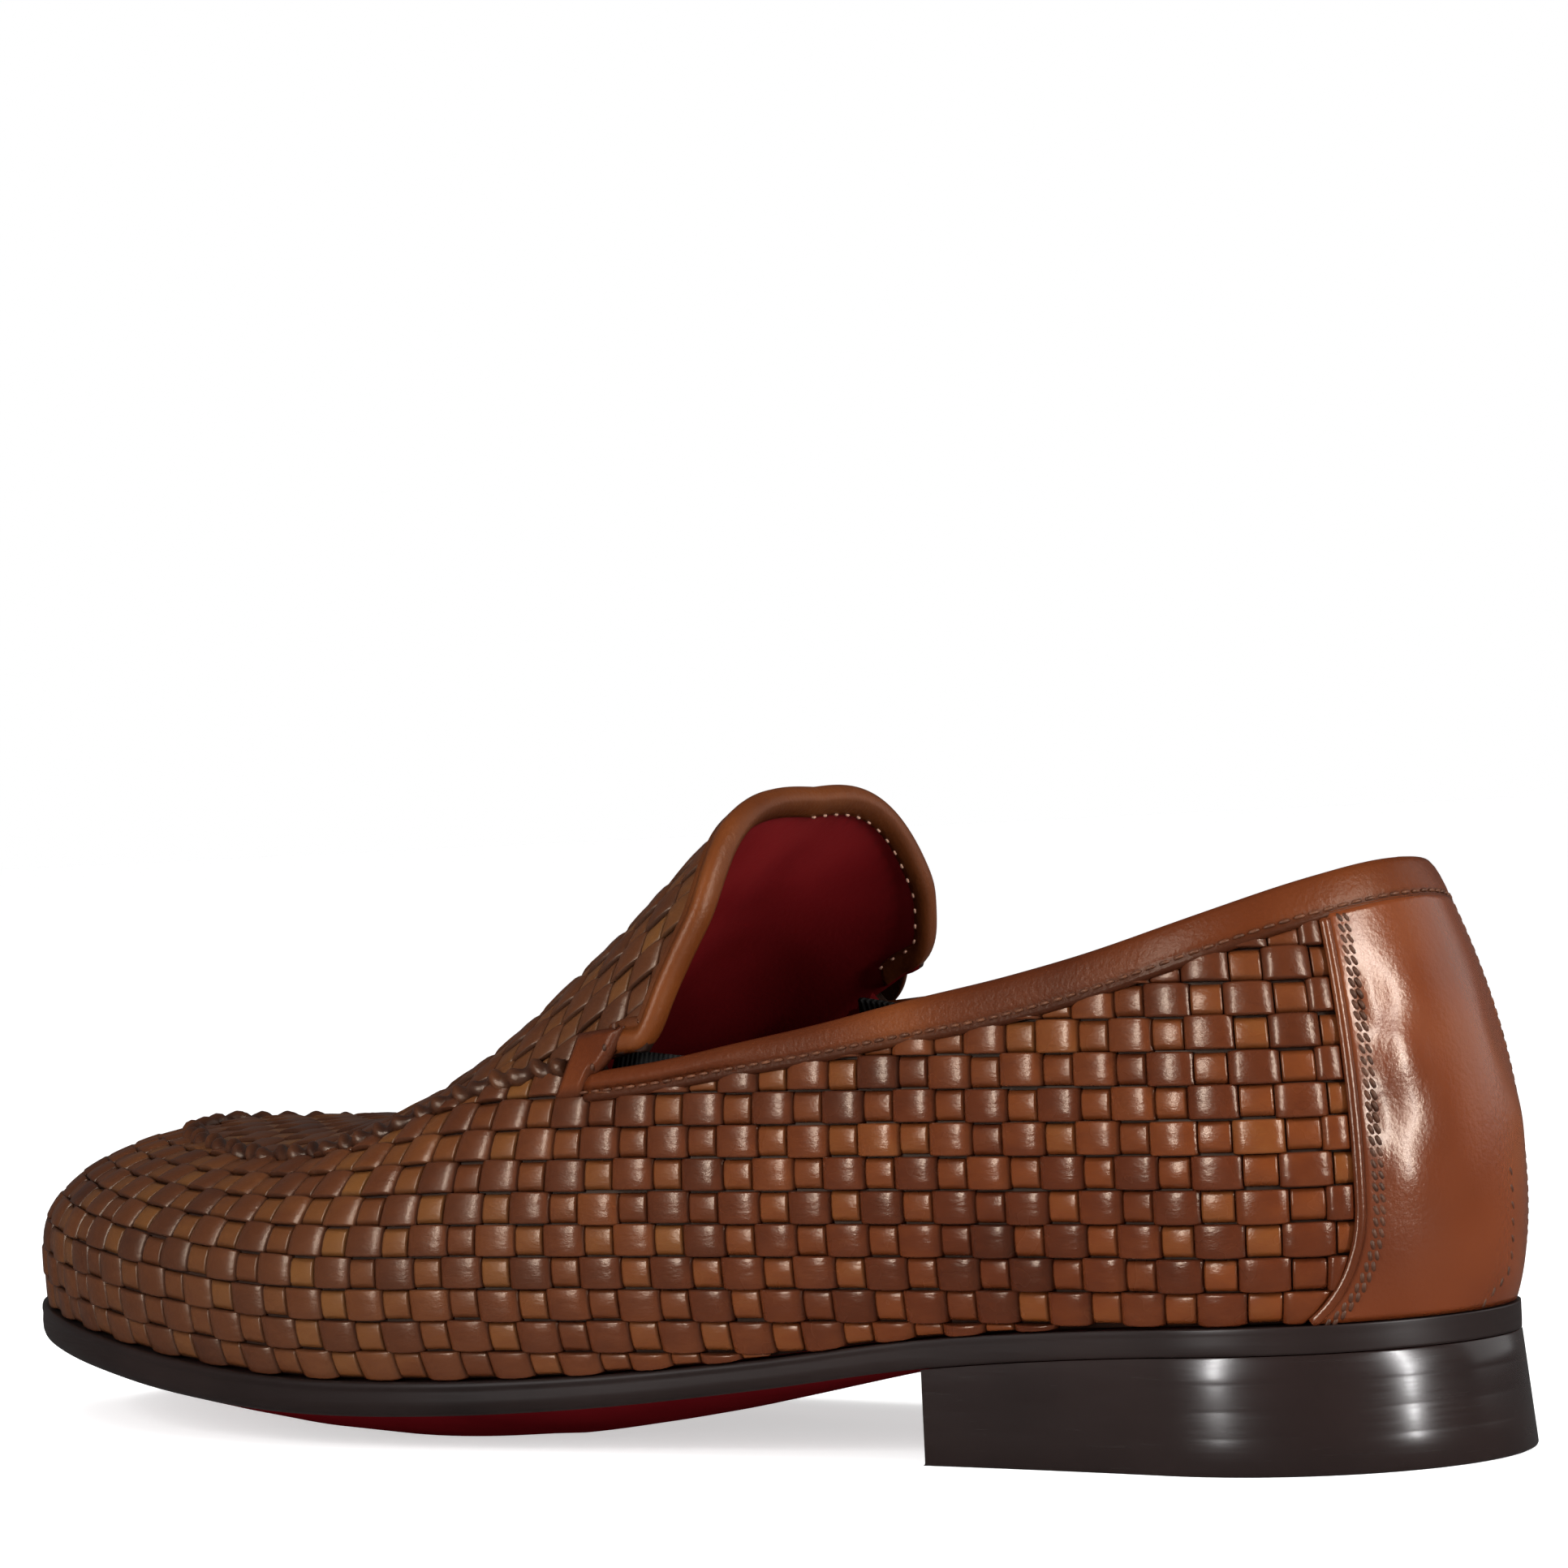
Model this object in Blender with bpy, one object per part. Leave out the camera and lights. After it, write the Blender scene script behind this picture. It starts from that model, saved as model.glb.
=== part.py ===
"""Woven leather loafer, a left shoe, as separate solids. Metres, +Z up, heel towards +X.

"Along" is the distance from the back of the heel towards the toe. The lateral (outer) side is at -Y and the
medial (inner) side at +Y. A wall position is a turn from 0 to 2, which runs from the heel along the lateral
side to the toe (1) and back along the medial side, and a level from 0 at the feather line to 1 at the ridge.
"""

import functools
import math

import bmesh
import bpy
import numpy as np

# Overall sizes
SOLE_LENGTH = 0.2985
HEEL_END = 0.1483
SIDE_SHIFT = -0.0002
HEEL_INSET = 0.002
TOE_INSET = 0.0015
HEEL_ROUND = 0.034
TOE_ROUND = 0.066
TOE_POWER = 2.1
TOE_SHIFT = 0.006
SHIFT_FROM = 0.150
HEEL_PIVOT = 0.034
TOE_PIVOT = 0.246
WAIST_LEVEL = 0.25
TUCK = math.radians(35)
DOME_POWER = 2.4

# Thicknesses and clearances
GAP = 0.0003
WALL = 0.0020
BINDING = 0.0010
RELIEF = 0.0008
SEAM_RISE = 0.0014
SEAM_SIDE = 0.0030
SEAM_INSET = 0.0025
INSOLE = 0.0028

# Weave
ROW = 0.0050
HALF_PERIOD = 0.0065
ROW_LINES = 15
APRON_LINES = 9
ROW_LEVEL_FROM = 0.165
ROW_SNAP = 0.0016
STRIP_INSET = 0.10
ROW_INSET = 0.07

# Collar, tongue, counter and gussets
COLLAR_BAND = 0.0063
TONGUE_BAND = 0.0040
INNER_LEAF = 0.0050
TONGUE_SLACK = 0.0005
TONGUE_END = 0.1215
APRON_FRONT = 0.262
APRON_ROUND = 0.050
THROAT_STATION = 3
TAB_LENGTH = 0.016
COUNTER_FRONT = 0.098
COUNTER_SPREAD = 0.30
COUNTER_CLEAR = 0.002
COUNTER_FOOT = 0.012
COUNTER_LEVELS = 10
GUSSET_TURNS = (0.440, 0.474)
GUSSET_BELOW = 0.004
GUSSET_LINES = 4
GUSSET_ABOVE = (0.002, 0.006)
EDGE_INSET = 0.0010
EDGE_ROUND = 0.3
TONGUE_POINTS = 17
TONGUE_TRIM = 1
FRONT_SHARES = (0.4, 0.7, 0.92, 1.0)
INNER_LEVEL = 0.45

# Sole and heel
SOLE_STEPS = 23
HEEL_STEPS = 9
BREAST = 0.078
TOP_PIECE = 0.0056
HEEL_HEIGHT = 0.0176
LIFTS = 3
HEEL_FLARE = 0.0018
SOLE_BEVEL = (-0.0010, 0.0004, 0.0)
SOLE_ACROSS = (-1, -0.75, -0.4, 0, 0.4, 0.75, 1)
PLATE_ACROSS = (-1, 0, 1)

# Search limits, sample counts and small steps
SEAM_SEARCH = (0.30, 1.0)
COLLAR_SEARCH = (0.2, 0.9)
THROAT_SEARCH = (0.35, 0.60)
APRON_REACH = 0.0405
APRON_SAMPLES = 163
TURN_SAMPLES = 161
LEVEL_SAMPLES = 121
LEVEL_STEP = 0.004
FOOT_LEVEL = 0.01
PLAN_STEP = 0.0008
EDGE_STEP = 0.002
CLOSED = 1e-5

# Half widths of the feather line: along, lateral, medial
FEATHER = [
    (0.000, 0.0320, 0.0320),
    (0.030, 0.0315, 0.0315),
    (0.060, 0.0320, 0.0315),
    (0.090, 0.0340, 0.0295),
    (0.120, 0.0375, 0.0285),
    (0.150, 0.0420, 0.0320),
    (0.180, 0.0465, 0.0385),
    (0.205, 0.0480, 0.0430),
    (0.230, 0.0465, 0.0440),
    (0.255, 0.0435, 0.0425),
    (0.280, 0.0400, 0.0390),
    (0.300, 0.0380, 0.0370),
]

# Height of the feather line and the sole under it: along, height, medial lift, sole edge, dome, margin
RISE = [
    (0.000, 0.0219, 0.0000, 0.0040, 0.0000, 0.0013),
    (0.040, 0.0212, 0.0000, 0.0040, 0.0000, 0.0012),
    (0.080, 0.0189, 0.0004, 0.0043, 0.0000, 0.0010),
    (0.110, 0.0154, 0.0010, 0.0046, 0.0020, 0.0006),
    (0.140, 0.0128, 0.0010, 0.0051, 0.0046, 0.0008),
    (0.170, 0.0116, 0.0004, 0.0055, 0.0066, 0.0013),
    (0.200, 0.0118, 0.0000, 0.0057, 0.0066, 0.0017),
    (0.225, 0.0136, 0.0000, 0.0057, 0.0050, 0.0018),
    (0.250, 0.0164, 0.0000, 0.0056, 0.0030, 0.0017),
    (0.275, 0.0188, 0.0000, 0.0055, 0.0016, 0.0016),
    (0.300, 0.0206, 0.0000, 0.0054, 0.0004, 0.0015),
]

# Wall sections: along, ridge height, lateral bulge, medial bulge, waist above feather, roundness
SECTION = [
    (0.000, 0.1285, 0.0023, 0.0023, 0.015, 2.40),
    (0.045, 0.1300, 0.0028, 0.0032, 0.024, 1.60),
    (0.090, 0.1210, 0.0030, 0.0055, 0.022, 1.05),
    (0.120, 0.1038, 0.0030, 0.0090, 0.020, 0.70),
    (0.150, 0.0855, 0.0030, 0.0075, 0.018, 0.95),
    (0.180, 0.0668, 0.0030, 0.0045, 0.016, 1.10),
    (0.205, 0.0556, 0.0025, 0.0032, 0.015, 0.98),
    (0.230, 0.0508, 0.0020, 0.0025, 0.014, 0.84),
    (0.255, 0.0498, 0.0015, 0.0018, 0.013, 0.78),
    (0.280, 0.0496, 0.0005, 0.0005, 0.011, 0.76),
    (0.300, 0.0496, 0.0000, 0.0000, 0.008, 0.95),
]

# Top of the collar: along, lateral height, medial height
COLLAR = [
    (0.000, 0.0893, 0.0893),
    (0.009, 0.0888, 0.0888),
    (0.016, 0.0861, 0.0863),
    (0.027, 0.0819, 0.0826),
    (0.043, 0.0770, 0.0786),
    (0.060, 0.0731, 0.0755),
    (0.078, 0.0698, 0.0730),
    (0.095, 0.0664, 0.0707),
    (0.110, 0.0638, 0.0692),
    (0.122, 0.0617, 0.0682),
    (0.140, 0.0597, 0.0668),
]

# Half widths of the apron and tongue in plan: along, lateral, medial
APRON = [
    (0.1215, 0.0335, 0.0298),
    (0.125, 0.0374, 0.0322),
    (0.131, 0.0384, 0.0325),
    (0.140, 0.0386, 0.0325),
    (0.155, 0.0382, 0.0331),
    (0.170, 0.0371, 0.0341),
    (0.190, 0.0370, 0.0355),
    (0.205, 0.0355, 0.0355),
    (0.217, 0.0340, 0.0340),
    (0.229, 0.0315, 0.0315),
    (0.262, 0.0280, 0.0280),
]


def lookup(table, column, along):
    """Value of a table's column at a distance along the shoe, on a smooth curve through its rows."""
    rows = np.array(table)
    stops, values = rows[:, 0], rows[:, column]
    gaps = np.diff(stops)
    slopes = np.diff(values) / gaps
    inner = (slopes[:-1] * gaps[1:] + slopes[1:] * gaps[:-1]) / (gaps[1:] + gaps[:-1])
    tangents = np.concatenate((slopes[:1], inner, slopes[-1:]))
    i = int(np.clip(np.searchsorted(stops, along) - 1, 0, len(gaps) - 1))
    t = (along - stops[i]) / gaps[i]
    start = (1 + 2 * t) * (1 - t) ** 2 * values[i] + t * (1 - t) ** 2 * gaps[i] * tangents[i]
    end = t * t * (3 - 2 * t) * values[i + 1] + t * t * (t - 1) * gaps[i] * tangents[i + 1]
    return float(start + end)


def side_column(side):
    return 1 if side < 0 else 2


def solve(value, low, high):
    """Where a rising function passes zero between two limits."""
    for _ in range(40):
        middle = (low + high) / 2
        if value(middle) > 0:
            high = middle
        else:
            low = middle
    return (low + high) / 2


def axis_y(along):
    """The centre line swings to the medial side towards the toe."""
    t = min(max((along - SHIFT_FROM) / (SOLE_LENGTH - SHIFT_FROM), 0), 1)
    return SIDE_SHIFT + TOE_SHIFT * t * t * (3 - 2 * t)


def outline_y(side, along, first, last, margin=0.0):
    """Edge of an outline that runs from first to last, rounded at heel and toe."""
    heel = min(max((along - first) / HEEL_ROUND, 0), 1)
    toe = min(max((last - along) / TOE_ROUND, 0), 1)
    heel_part = math.sqrt(1 - (1 - heel) ** 2)
    toe_part = (1 - (1 - toe) ** TOE_POWER) ** (1 / TOE_POWER)
    half = lookup(FEATHER, side_column(side), along) + margin
    return axis_y(along) + side * half * heel_part * toe_part


def feather_z(side, along):
    lift = lookup(RISE, 2, along) if side > 0 else 0
    return lookup(RISE, 1, along) + lift


def split_turn(turn):
    """Side and position from the heel (0) to the toe (1) of a turn round the wall."""
    turn = turn % 2
    return (-1, turn) if turn <= 1 else (1, 2 - turn)


@functools.lru_cache(maxsize=None)
def section(side, s):
    """Section plane of the wall: pivot, plan direction, reach, feather height and shape."""
    first, last = HEEL_INSET, SOLE_LENGTH - TOE_INSET
    share = (1 - math.cos(math.pi * s)) / 2
    along = first + (last - first) * share
    foot = np.array([HEEL_END - along, outline_y(side, along, first, last)])
    pivot_along = HEEL_PIVOT + (TOE_PIVOT - HEEL_PIVOT) * share
    pivot = np.array([HEEL_END - pivot_along, axis_y(pivot_along)])
    reach = float(np.hypot(*(foot - pivot)))
    return {
        "along": along,
        "pivot": pivot,
        "out": (foot - pivot) / reach,
        "reach": reach,
        "foot": feather_z(side, along),
        "ridge": lookup(SECTION, 1, along),
        "bulge": lookup(SECTION, 1 + side_column(side), along),
        "waist": lookup(SECTION, 4, along),
        "round": lookup(SECTION, 5, along),
    }


def wall_point(turn, level):
    """Point on the outside of the last."""
    cut = section(*split_turn(turn))
    widest = cut["reach"] + cut["bulge"]
    if level < WAIST_LEVEL:
        angle = TUCK + level / WAIST_LEVEL * (math.pi / 2 - TUCK)
        r = cut["reach"] + cut["bulge"] * (math.sin(angle) - math.sin(TUCK)) / (1 - math.sin(TUCK))
        z = cut["foot"] + cut["waist"] * (1 - math.cos(angle) / math.cos(TUCK))
    else:
        angle = (level - WAIST_LEVEL) / (1 - WAIST_LEVEL) * math.pi / 2
        r = widest * max(math.cos(angle), 0) ** cut["round"]
        z = cut["foot"] + cut["waist"] + (cut["ridge"] - cut["foot"] - cut["waist"]) * math.sin(angle)
    return np.array([*(cut["pivot"] + cut["out"] * r), z])


def wall_normal(turn, level):
    """Outward normal of the last, level at the feather line so that the wall stands square on the sole."""
    cut = section(*split_turn(turn))
    outward = np.array([*cut["out"], 0.0])
    if level < FOOT_LEVEL:
        return outward
    step = LEVEL_STEP
    across = wall_point(turn + step, level) - wall_point(turn - step, level)
    up = wall_point(turn, min(level + step, 1)) - wall_point(turn, level - step)
    normal = np.cross(across, up)
    normal /= np.linalg.norm(normal)
    return normal if normal @ (outward + np.array([0, 0, 0.5])) > 0 else -normal


def wall_at(turn, level, offset):
    return wall_point(turn, level) + wall_normal(turn, level) * offset


@functools.lru_cache(maxsize=None)
def fan(side):
    """Pivots and plan directions of many section planes, for finding the plane through a plan point."""
    stops = np.linspace(0.02, 1, 500)
    cuts = [section(side, s) for s in stops]
    return stops, np.array([c["pivot"] for c in cuts]), np.array([c["out"] for c in cuts])


def crown_z(x, y):
    """Height of the last over a plan point."""
    side = -1 if y < axis_y(HEEL_END - x) else 1
    stops, pivots, outs = fan(side)
    reach = np.array([x, y]) - pivots
    crossing = outs[:, 0] * reach[:, 1] - outs[:, 1] * reach[:, 0]
    ahead = (reach * outs).sum(1) >= -1e-6
    signs = np.nonzero((crossing[:-1] * crossing[1:] <= 0) & (ahead[:-1] | ahead[1:]))[0]
    if len(signs) == 0:
        s = stops[np.argmin(np.abs(crossing))]
    else:
        i = signs[0]
        s = stops[i] + (stops[i + 1] - stops[i]) * crossing[i] / (crossing[i] - crossing[i + 1] + 1e-15)
    cut = section(side, round(float(s), 7))
    r = np.hypot(*(np.array([x, y]) - cut["pivot"]))
    share = min(r / (cut["reach"] + cut["bulge"]), 1)
    low = cut["foot"] + cut["waist"]
    return low + (cut["ridge"] - low) * math.sin(math.acos(share ** (1 / cut["round"])))


def apron_half(side, along):
    """Half width of the apron in plan, which closes in a round front."""
    if along >= APRON_FRONT:
        return APRON_FRONT - along
    front = min((APRON_FRONT - along) / APRON_ROUND, 1)
    rounding = (1 - (1 - front) ** TOE_POWER) ** (1 / TOE_POWER)
    return lookup(APRON, side_column(side), along) * rounding


@functools.lru_cache(maxsize=None)
def apron_section(along):
    """Arc length across the last at one distance along, from the centre line, and the plan offsets there."""
    offsets = np.linspace(-APRON_REACH, APRON_REACH, APRON_SAMPLES)
    x, centre = HEEL_END - along, axis_y(along)
    heights = np.array([crown_z(x, centre + y) for y in offsets])
    arcs = np.concatenate(([0], np.cumsum(np.hypot(np.diff(offsets), np.diff(heights)))))
    return arcs - np.interp(0, offsets, arcs), offsets


def apron_at(along, across, offset):
    """Point at an arc length across the apron, moved along the normal of the last."""
    arcs, offsets = apron_section(along)
    x = HEEL_END - along
    y = axis_y(along) + np.interp(across, arcs, offsets)
    step = PLAN_STEP
    slope_x = (crown_z(x + step, y) - crown_z(x - step, y)) / (2 * step)
    slope_y = (crown_z(x, y + step) - crown_z(x, y - step)) / (2 * step)
    normal = np.array([-slope_x, -slope_y, 1.0])
    return np.array([x, y, crown_z(x, y)]) + normal / np.linalg.norm(normal) * offset


def apron_limits(along, inset):
    """Arc lengths across the apron at its lateral and medial edges."""
    arcs, offsets = apron_section(along)
    edges = [side * max(apron_half(side, along), 0) for side in (-1, 1)]
    low, high = np.interp(edges, offsets, arcs)
    middle = (low + high) / 2
    return min(low + inset, middle), max(high - inset, middle)


def seam_level(turn):
    """Level where the wall reaches the edge of the apron."""

    def inside(level):
        point = wall_point(turn, level)
        along = HEEL_END - point[0]
        return apron_half(split_turn(turn)[0], along) - abs(point[1] - axis_y(along))

    return solve(inside, *SEAM_SEARCH)


def collar_level(turn, below):
    """Level of the line that lies a distance below the top of the collar."""
    side, _ = split_turn(turn)

    def above(level):
        point = wall_point(turn, level)
        return point[2] - lookup(COLLAR, side_column(side), HEEL_END - point[0]) + below

    return solve(above, *COLLAR_SEARCH)


@functools.lru_cache(maxsize=None)
def girth(turn):
    """Arc length up the wall from the feather line, at even levels."""
    levels = np.linspace(0, 1, LEVEL_SAMPLES)
    points = np.array([wall_point(turn, level) for level in levels])
    steps = np.linalg.norm(np.diff(points, axis=0), axis=1)
    return np.concatenate(([0], np.cumsum(steps))), levels


def level_below(turn, level, distance):
    """Level a distance down the wall from another one."""
    arcs, levels = girth(turn)
    return float(np.interp(np.interp(level, levels, arcs) - distance, arcs, levels))


def stations():
    """Distances along of the apron's cross rows, even along the slope of the ridge."""
    stops = [TONGUE_END]
    while stops[-1] < APRON_FRONT - 2 * HALF_PERIOD:
        x = HEEL_END - stops[-1]
        y = axis_y(stops[-1])
        slope = (crown_z(x - EDGE_STEP, y) - crown_z(x + EDGE_STEP, y)) / (2 * EDGE_STEP)
        stops.append(stops[-1] + HALF_PERIOD / math.hypot(1, slope))
    rest = APRON_FRONT - stops[-1]
    return stops + [stops[-1] + rest * share for share in FRONT_SHARES]


def throat_turn(side, along):
    """Turn where the seam starts, at the throat corner."""

    def ahead(s):
        turn = s if side < 0 else 2 - s
        return HEEL_END - wall_point(turn, seam_level(turn))[0] < along

    low, high = THROAT_SEARCH
    for _ in range(30):
        middle = (low + high) / 2
        low, high = (middle, high) if ahead(middle) else (low, middle)
    return low if side < 0 else 2 - low


def columns(throat_near, throat_far):
    """Turns of the wall's columns, about half a weave period apart, with one on each throat corner."""
    turns = []
    fixed = [0.0, throat_near, 1.0, throat_far, 2.0]
    for start, end in zip(fixed[:-1], fixed[1:]):
        fine = np.linspace(start, end, TURN_SAMPLES)
        points = np.array([wall_point(turn, WAIST_LEVEL) for turn in fine])
        arcs = np.concatenate(([0], np.cumsum(np.linalg.norm(np.diff(points, axis=0), axis=1))))
        count = 2 * round(arcs[-1] / HALF_PERIOD / 2)
        turns += [float(np.interp(arcs[-1] * i / count, arcs, fine)) for i in range(count)]
    return turns


class Net:
    """Points and faces collected for one piece."""

    def __init__(self):
        self.points = []
        self.faces = []

    def point(self, place):
        self.points.append(tuple(place))
        return len(self.points) - 1

    def face(self, *corners):
        kept = list(dict.fromkeys(corners))
        if len(kept) > 2:
            self.faces.append(kept)

    def strip(self, first, second):
        for i in range(len(first) - 1):
            self.face(first[i], first[i + 1], second[i + 1], second[i])

    def loop(self, first, second):
        self.strip(first + first[:1], second + second[:1])

    def join(self, first, second):
        """Triangles between two lines with different numbers of points."""

        def shares(line):
            places = np.array([self.points[i] for i in line])
            arcs = np.concatenate(([0], np.cumsum(np.linalg.norm(np.diff(places, axis=0), axis=1))))
            return arcs / arcs[-1]

        a, b = shares(first), shares(second)
        i = j = 0
        while i < len(first) - 1 or j < len(second) - 1:
            if j == len(second) - 1 or (i < len(first) - 1 and a[i + 1] <= b[j + 1]):
                self.face(first[i], first[i + 1], second[j])
                i += 1
            else:
                self.face(first[i], second[j + 1], second[j])
                j += 1


def raised_cell(net, corners, place):
    """A strip that bends over the one below: a low block on four corners. place gives points of its top."""
    near, far = STRIP_INSET, 1 - STRIP_INSET
    low, high = ROW_INSET, 1 - ROW_INSET
    top = [net.point(place(*share)) for share in ((near, low), (far, low), (far, high), (near, high))]
    net.face(*top)
    net.loop(corners, top)


def lines_of(net, values, place):
    """Points of one column. Values that coincide share a point."""
    known = {}
    for value in values:
        if value not in known:
            known[value] = net.point(place(value))
    return [known[value] for value in values]


def weave_cells(net, ids, values, woven, place):
    """Faces between columns of points: every second cell of the woven part is raised."""
    for i in range(len(ids) - 1):
        for k in range(len(ids[i]) - 1):
            corners = [ids[i][k], ids[i + 1][k], ids[i + 1][k + 1], ids[i][k + 1]]
            if woven(i, k) and (i + k) % 2 == 0 and len(set(corners)) == 4:

                def top(f, g, i=i, k=k):
                    low = values[i][k] * (1 - f) + values[i + 1][k] * f
                    high = values[i][k + 1] * (1 - f) + values[i + 1][k + 1] * f
                    return place(i, f, low * (1 - g) + high * g)

                raised_cell(net, corners, top)
            else:
                net.face(*corners)


def wall_levels(turn, top, plain):
    """Levels of the row lines of one column, held between the feather line and the plain edge."""
    arcs, levels = girth(turn)
    side, s = split_turn(turn)
    along = section(side, s)["along"]
    lift = section(side, s)["foot"] - lookup(RISE, 1, max(along, ROW_LEVEL_FROM))
    low = level_below(turn, top, plain)
    highest = np.interp(low, levels, arcs)
    rows = [0.0]
    for k in range(1, ROW_LINES):
        arc = k * ROW - lift
        if arc < ROW_SNAP:
            rows.append(0.0)
        elif arc > highest - ROW_SNAP:
            rows.append(low)
        else:
            rows.append(float(np.interp(arc, arcs, levels)))
    return rows + [low, top]


def plain_width(turn, throats):
    """Width of the plain edge below the collar or the seam. It narrows along the tab at the throat."""
    side, s = split_turn(turn)
    throat = throats[0] if side < 0 else 2 - throats[1]
    past = (s - throat) * SOLE_LENGTH * math.pi / 2 / TAB_LENGTH
    return SEAM_SIDE + (COLLAR_BAND + 2 * GAP - SEAM_SIDE) * min(max(1 - past, 0), 1)


def skin(net, layout, offset, woven):
    """One face of the upper's wall. Returns its points along the feather line, the collar and the tongue."""
    turns, tops, throats, stops = layout
    if not woven:
        stops = stops[:THROAT_STATION] + stops[THROAT_STATION:-1:2] + stops[-1:]
    count = len(turns)
    first_far = turns.index(throats[1])
    first_near = turns.index(throats[0])

    # Side wall
    ids, values = [], []
    for turn, top in zip(turns, tops):
        levels = wall_levels(turn, top, plain_width(turn, throats))
        if not woven:
            low = levels[-2]
            levels = [0.0, low * INNER_LEVEL, low, top]
        seam = throats[0] < turn < throats[1]
        rise = SEAM_RISE if woven and seam else 0.0

        def place(level, turn=turn, top=top, rise=rise):
            return wall_at(turn, level, offset + (rise if level == top else 0.0))

        values.append(levels)
        ids.append(lines_of(net, levels, place))

    def strip_top(i, f, level):
        following = turns[i + 1] if i + 1 < count else 2.0
        return wall_at(turns[i] * (1 - f) + following * f, level, offset + RELIEF)

    def on_weave(i, k):
        nearest = min(split_turn(turns[i])[1], split_turn(turns[(i + 1) % count])[1])
        front = counter_front(min(values[i][k], values[(i + 1) % count][k]))
        return woven and nearest > front + COUNTER_CLEAR and k < ROW_LINES - 1

    weave_cells(net, ids + ids[:1], values + values[:1], on_weave, strip_top)

    # Apron and tongue
    cross_ids, cross_values = [], []
    for j, along in enumerate(stops):
        inset = EDGE_INSET + (SEAM_INSET - EDGE_INSET) * min(max((j - THROAT_STATION) / 2, 0), 1)
        low, high = apron_limits(along, inset)
        lines = []
        for k in range(-APRON_LINES, APRON_LINES + 1, 1 if woven else 2):
            across = k * ROW
            if across < low + ROW_SNAP:
                across = low
            elif across > high - ROW_SNAP:
                across = high
            lines.append(across)
        cross_values.append([low] + lines + [high])

        def place(across, along=along):
            return apron_at(along, across, offset)

        cross_ids.append(lines_of(net, cross_values[-1], place))

    def cross_top(j, f, across):
        return apron_at(stops[j] * (1 - f) + stops[j + 1] * f, across, offset + RELIEF)

    def on_apron(j, k):
        low, high = cross_values[j][0] + TONGUE_BAND, cross_values[j][-1] - TONGUE_BAND
        bound = j < THROAT_STATION and (cross_values[j][k] < low or cross_values[j][k + 1] > high)
        return woven and 2 <= j < len(stops) - len(FRONT_SHARES) and not bound

    weave_cells(net, cross_ids, cross_values, on_apron, cross_top)

    # Seam between the two, from one throat corner round the front to the other
    seam_line = [ids[i][-1] for i in range(first_near, first_far + 1)]
    near_edge = [line[0] for line in cross_ids]
    far_edge = [line[-1] for line in cross_ids]
    net.join(seam_line, near_edge[THROAT_STATION:] + far_edge[THROAT_STATION:-1][::-1])

    collar = [ids[i % count][-1] for i in range(first_far, count + first_near + 1)]
    back = list(dict.fromkeys(cross_ids[0]))
    tongue = near_edge[THROAT_STATION:0:-1] + back + far_edge[1 : THROAT_STATION + 1]
    return [line[0] for line in ids], collar, tongue


def upper_layout():
    stops = stations()
    throats = [throat_turn(side, stops[THROAT_STATION]) for side in (-1, 1)]
    turns = columns(*throats)
    tops = []
    for turn in turns:
        on_collar = turn < throats[0] or turn > throats[1]
        tops.append(collar_level(turn, BINDING + GAP) if on_collar else seam_level(turn))
    return turns, tops, throats, stops


def upper(layout):
    """Hollow woven wall, open underneath, at the collar and at the throat."""
    net = Net()
    outer = skin(net, layout, 0.0, True)
    inner = skin(net, layout, -WALL, False)
    net.loop(outer[0], inner[0])
    net.strip(outer[1], inner[1])
    net.join(outer[2], inner[2])
    for collar_end, tongue_end in ((-1, 0), (0, -1)):
        corners = [line[1][collar_end] for line in (outer, inner)]
        corners += [line[2][tongue_end] for line in (inner, outer)]
        net.face(*corners)
    return net


def fold_offsets(band, slack):
    """Section of a folded binding: distance in from the edge and height above the wall's outside."""
    over = GAP + slack
    under = -WALL - GAP - slack
    return [
        (band, over),
        (band, over + BINDING),
        (-GAP - BINDING * EDGE_ROUND, over + BINDING),
        (-GAP - BINDING, over),
        (-GAP - BINDING, under - BINDING),
        (INNER_LEAF, under - BINDING),
        (INNER_LEAF, under),
        (-GAP, under),
        (-GAP, over),
    ]


def swept(sections):
    """Solid through a row of closed sections, with flat ends."""
    net = Net()
    rings = [[net.point(place) for place in ring] for ring in sections]
    for first, second in zip(rings[:-1], rings[1:]):
        net.loop(first, second)
    net.face(*rings[0])
    net.face(*rings[-1])
    return net


def collar_binding(layout):
    """Leather folded over the top edge, from one throat corner round the heel to the other."""
    turns, tops, throats, _ = layout
    order = [i for i in range(len(turns)) if turns[i] > throats[1]]
    order += [i for i in range(len(turns)) if turns[i] < throats[0]]
    sections = []
    for i in order:
        ring = []
        for inward, height in fold_offsets(COLLAR_BAND, 0.0):
            level = level_below(turns[i], tops[i], max(inward, 0))
            rise = np.array([0, 0, max(-inward, 0)])
            ring.append(wall_at(turns[i], level, height) + rise)
        sections.append(ring)
    return swept(sections)


def tongue_edge(layout):
    """Edge of the tongue as (along, across) pairs with the inward direction at each."""
    stops = layout[3]
    limits = [apron_limits(along, EDGE_INSET) for along in stops[: THROAT_STATION + 1]]
    slope = HALF_PERIOD / (stops[1] - stops[0])
    side_rows = range(THROAT_STATION, 0, -1)
    path = [(stops[j] * slope, limits[j][0]) for j in side_rows]
    low, high = limits[0]
    path += [(stops[0] * slope, low + (high - low) * share) for share in np.linspace(0, 1, TONGUE_POINTS)]
    path += [(stops[j] * slope, limits[j][1]) for j in reversed(side_rows)]
    path = np.array(path)
    along_path = np.gradient(path, axis=0)
    along_path /= np.linalg.norm(along_path, axis=1)[:, None]
    inward = np.stack([along_path[:, 1], -along_path[:, 0]], axis=1)
    return path, inward, slope


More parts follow.
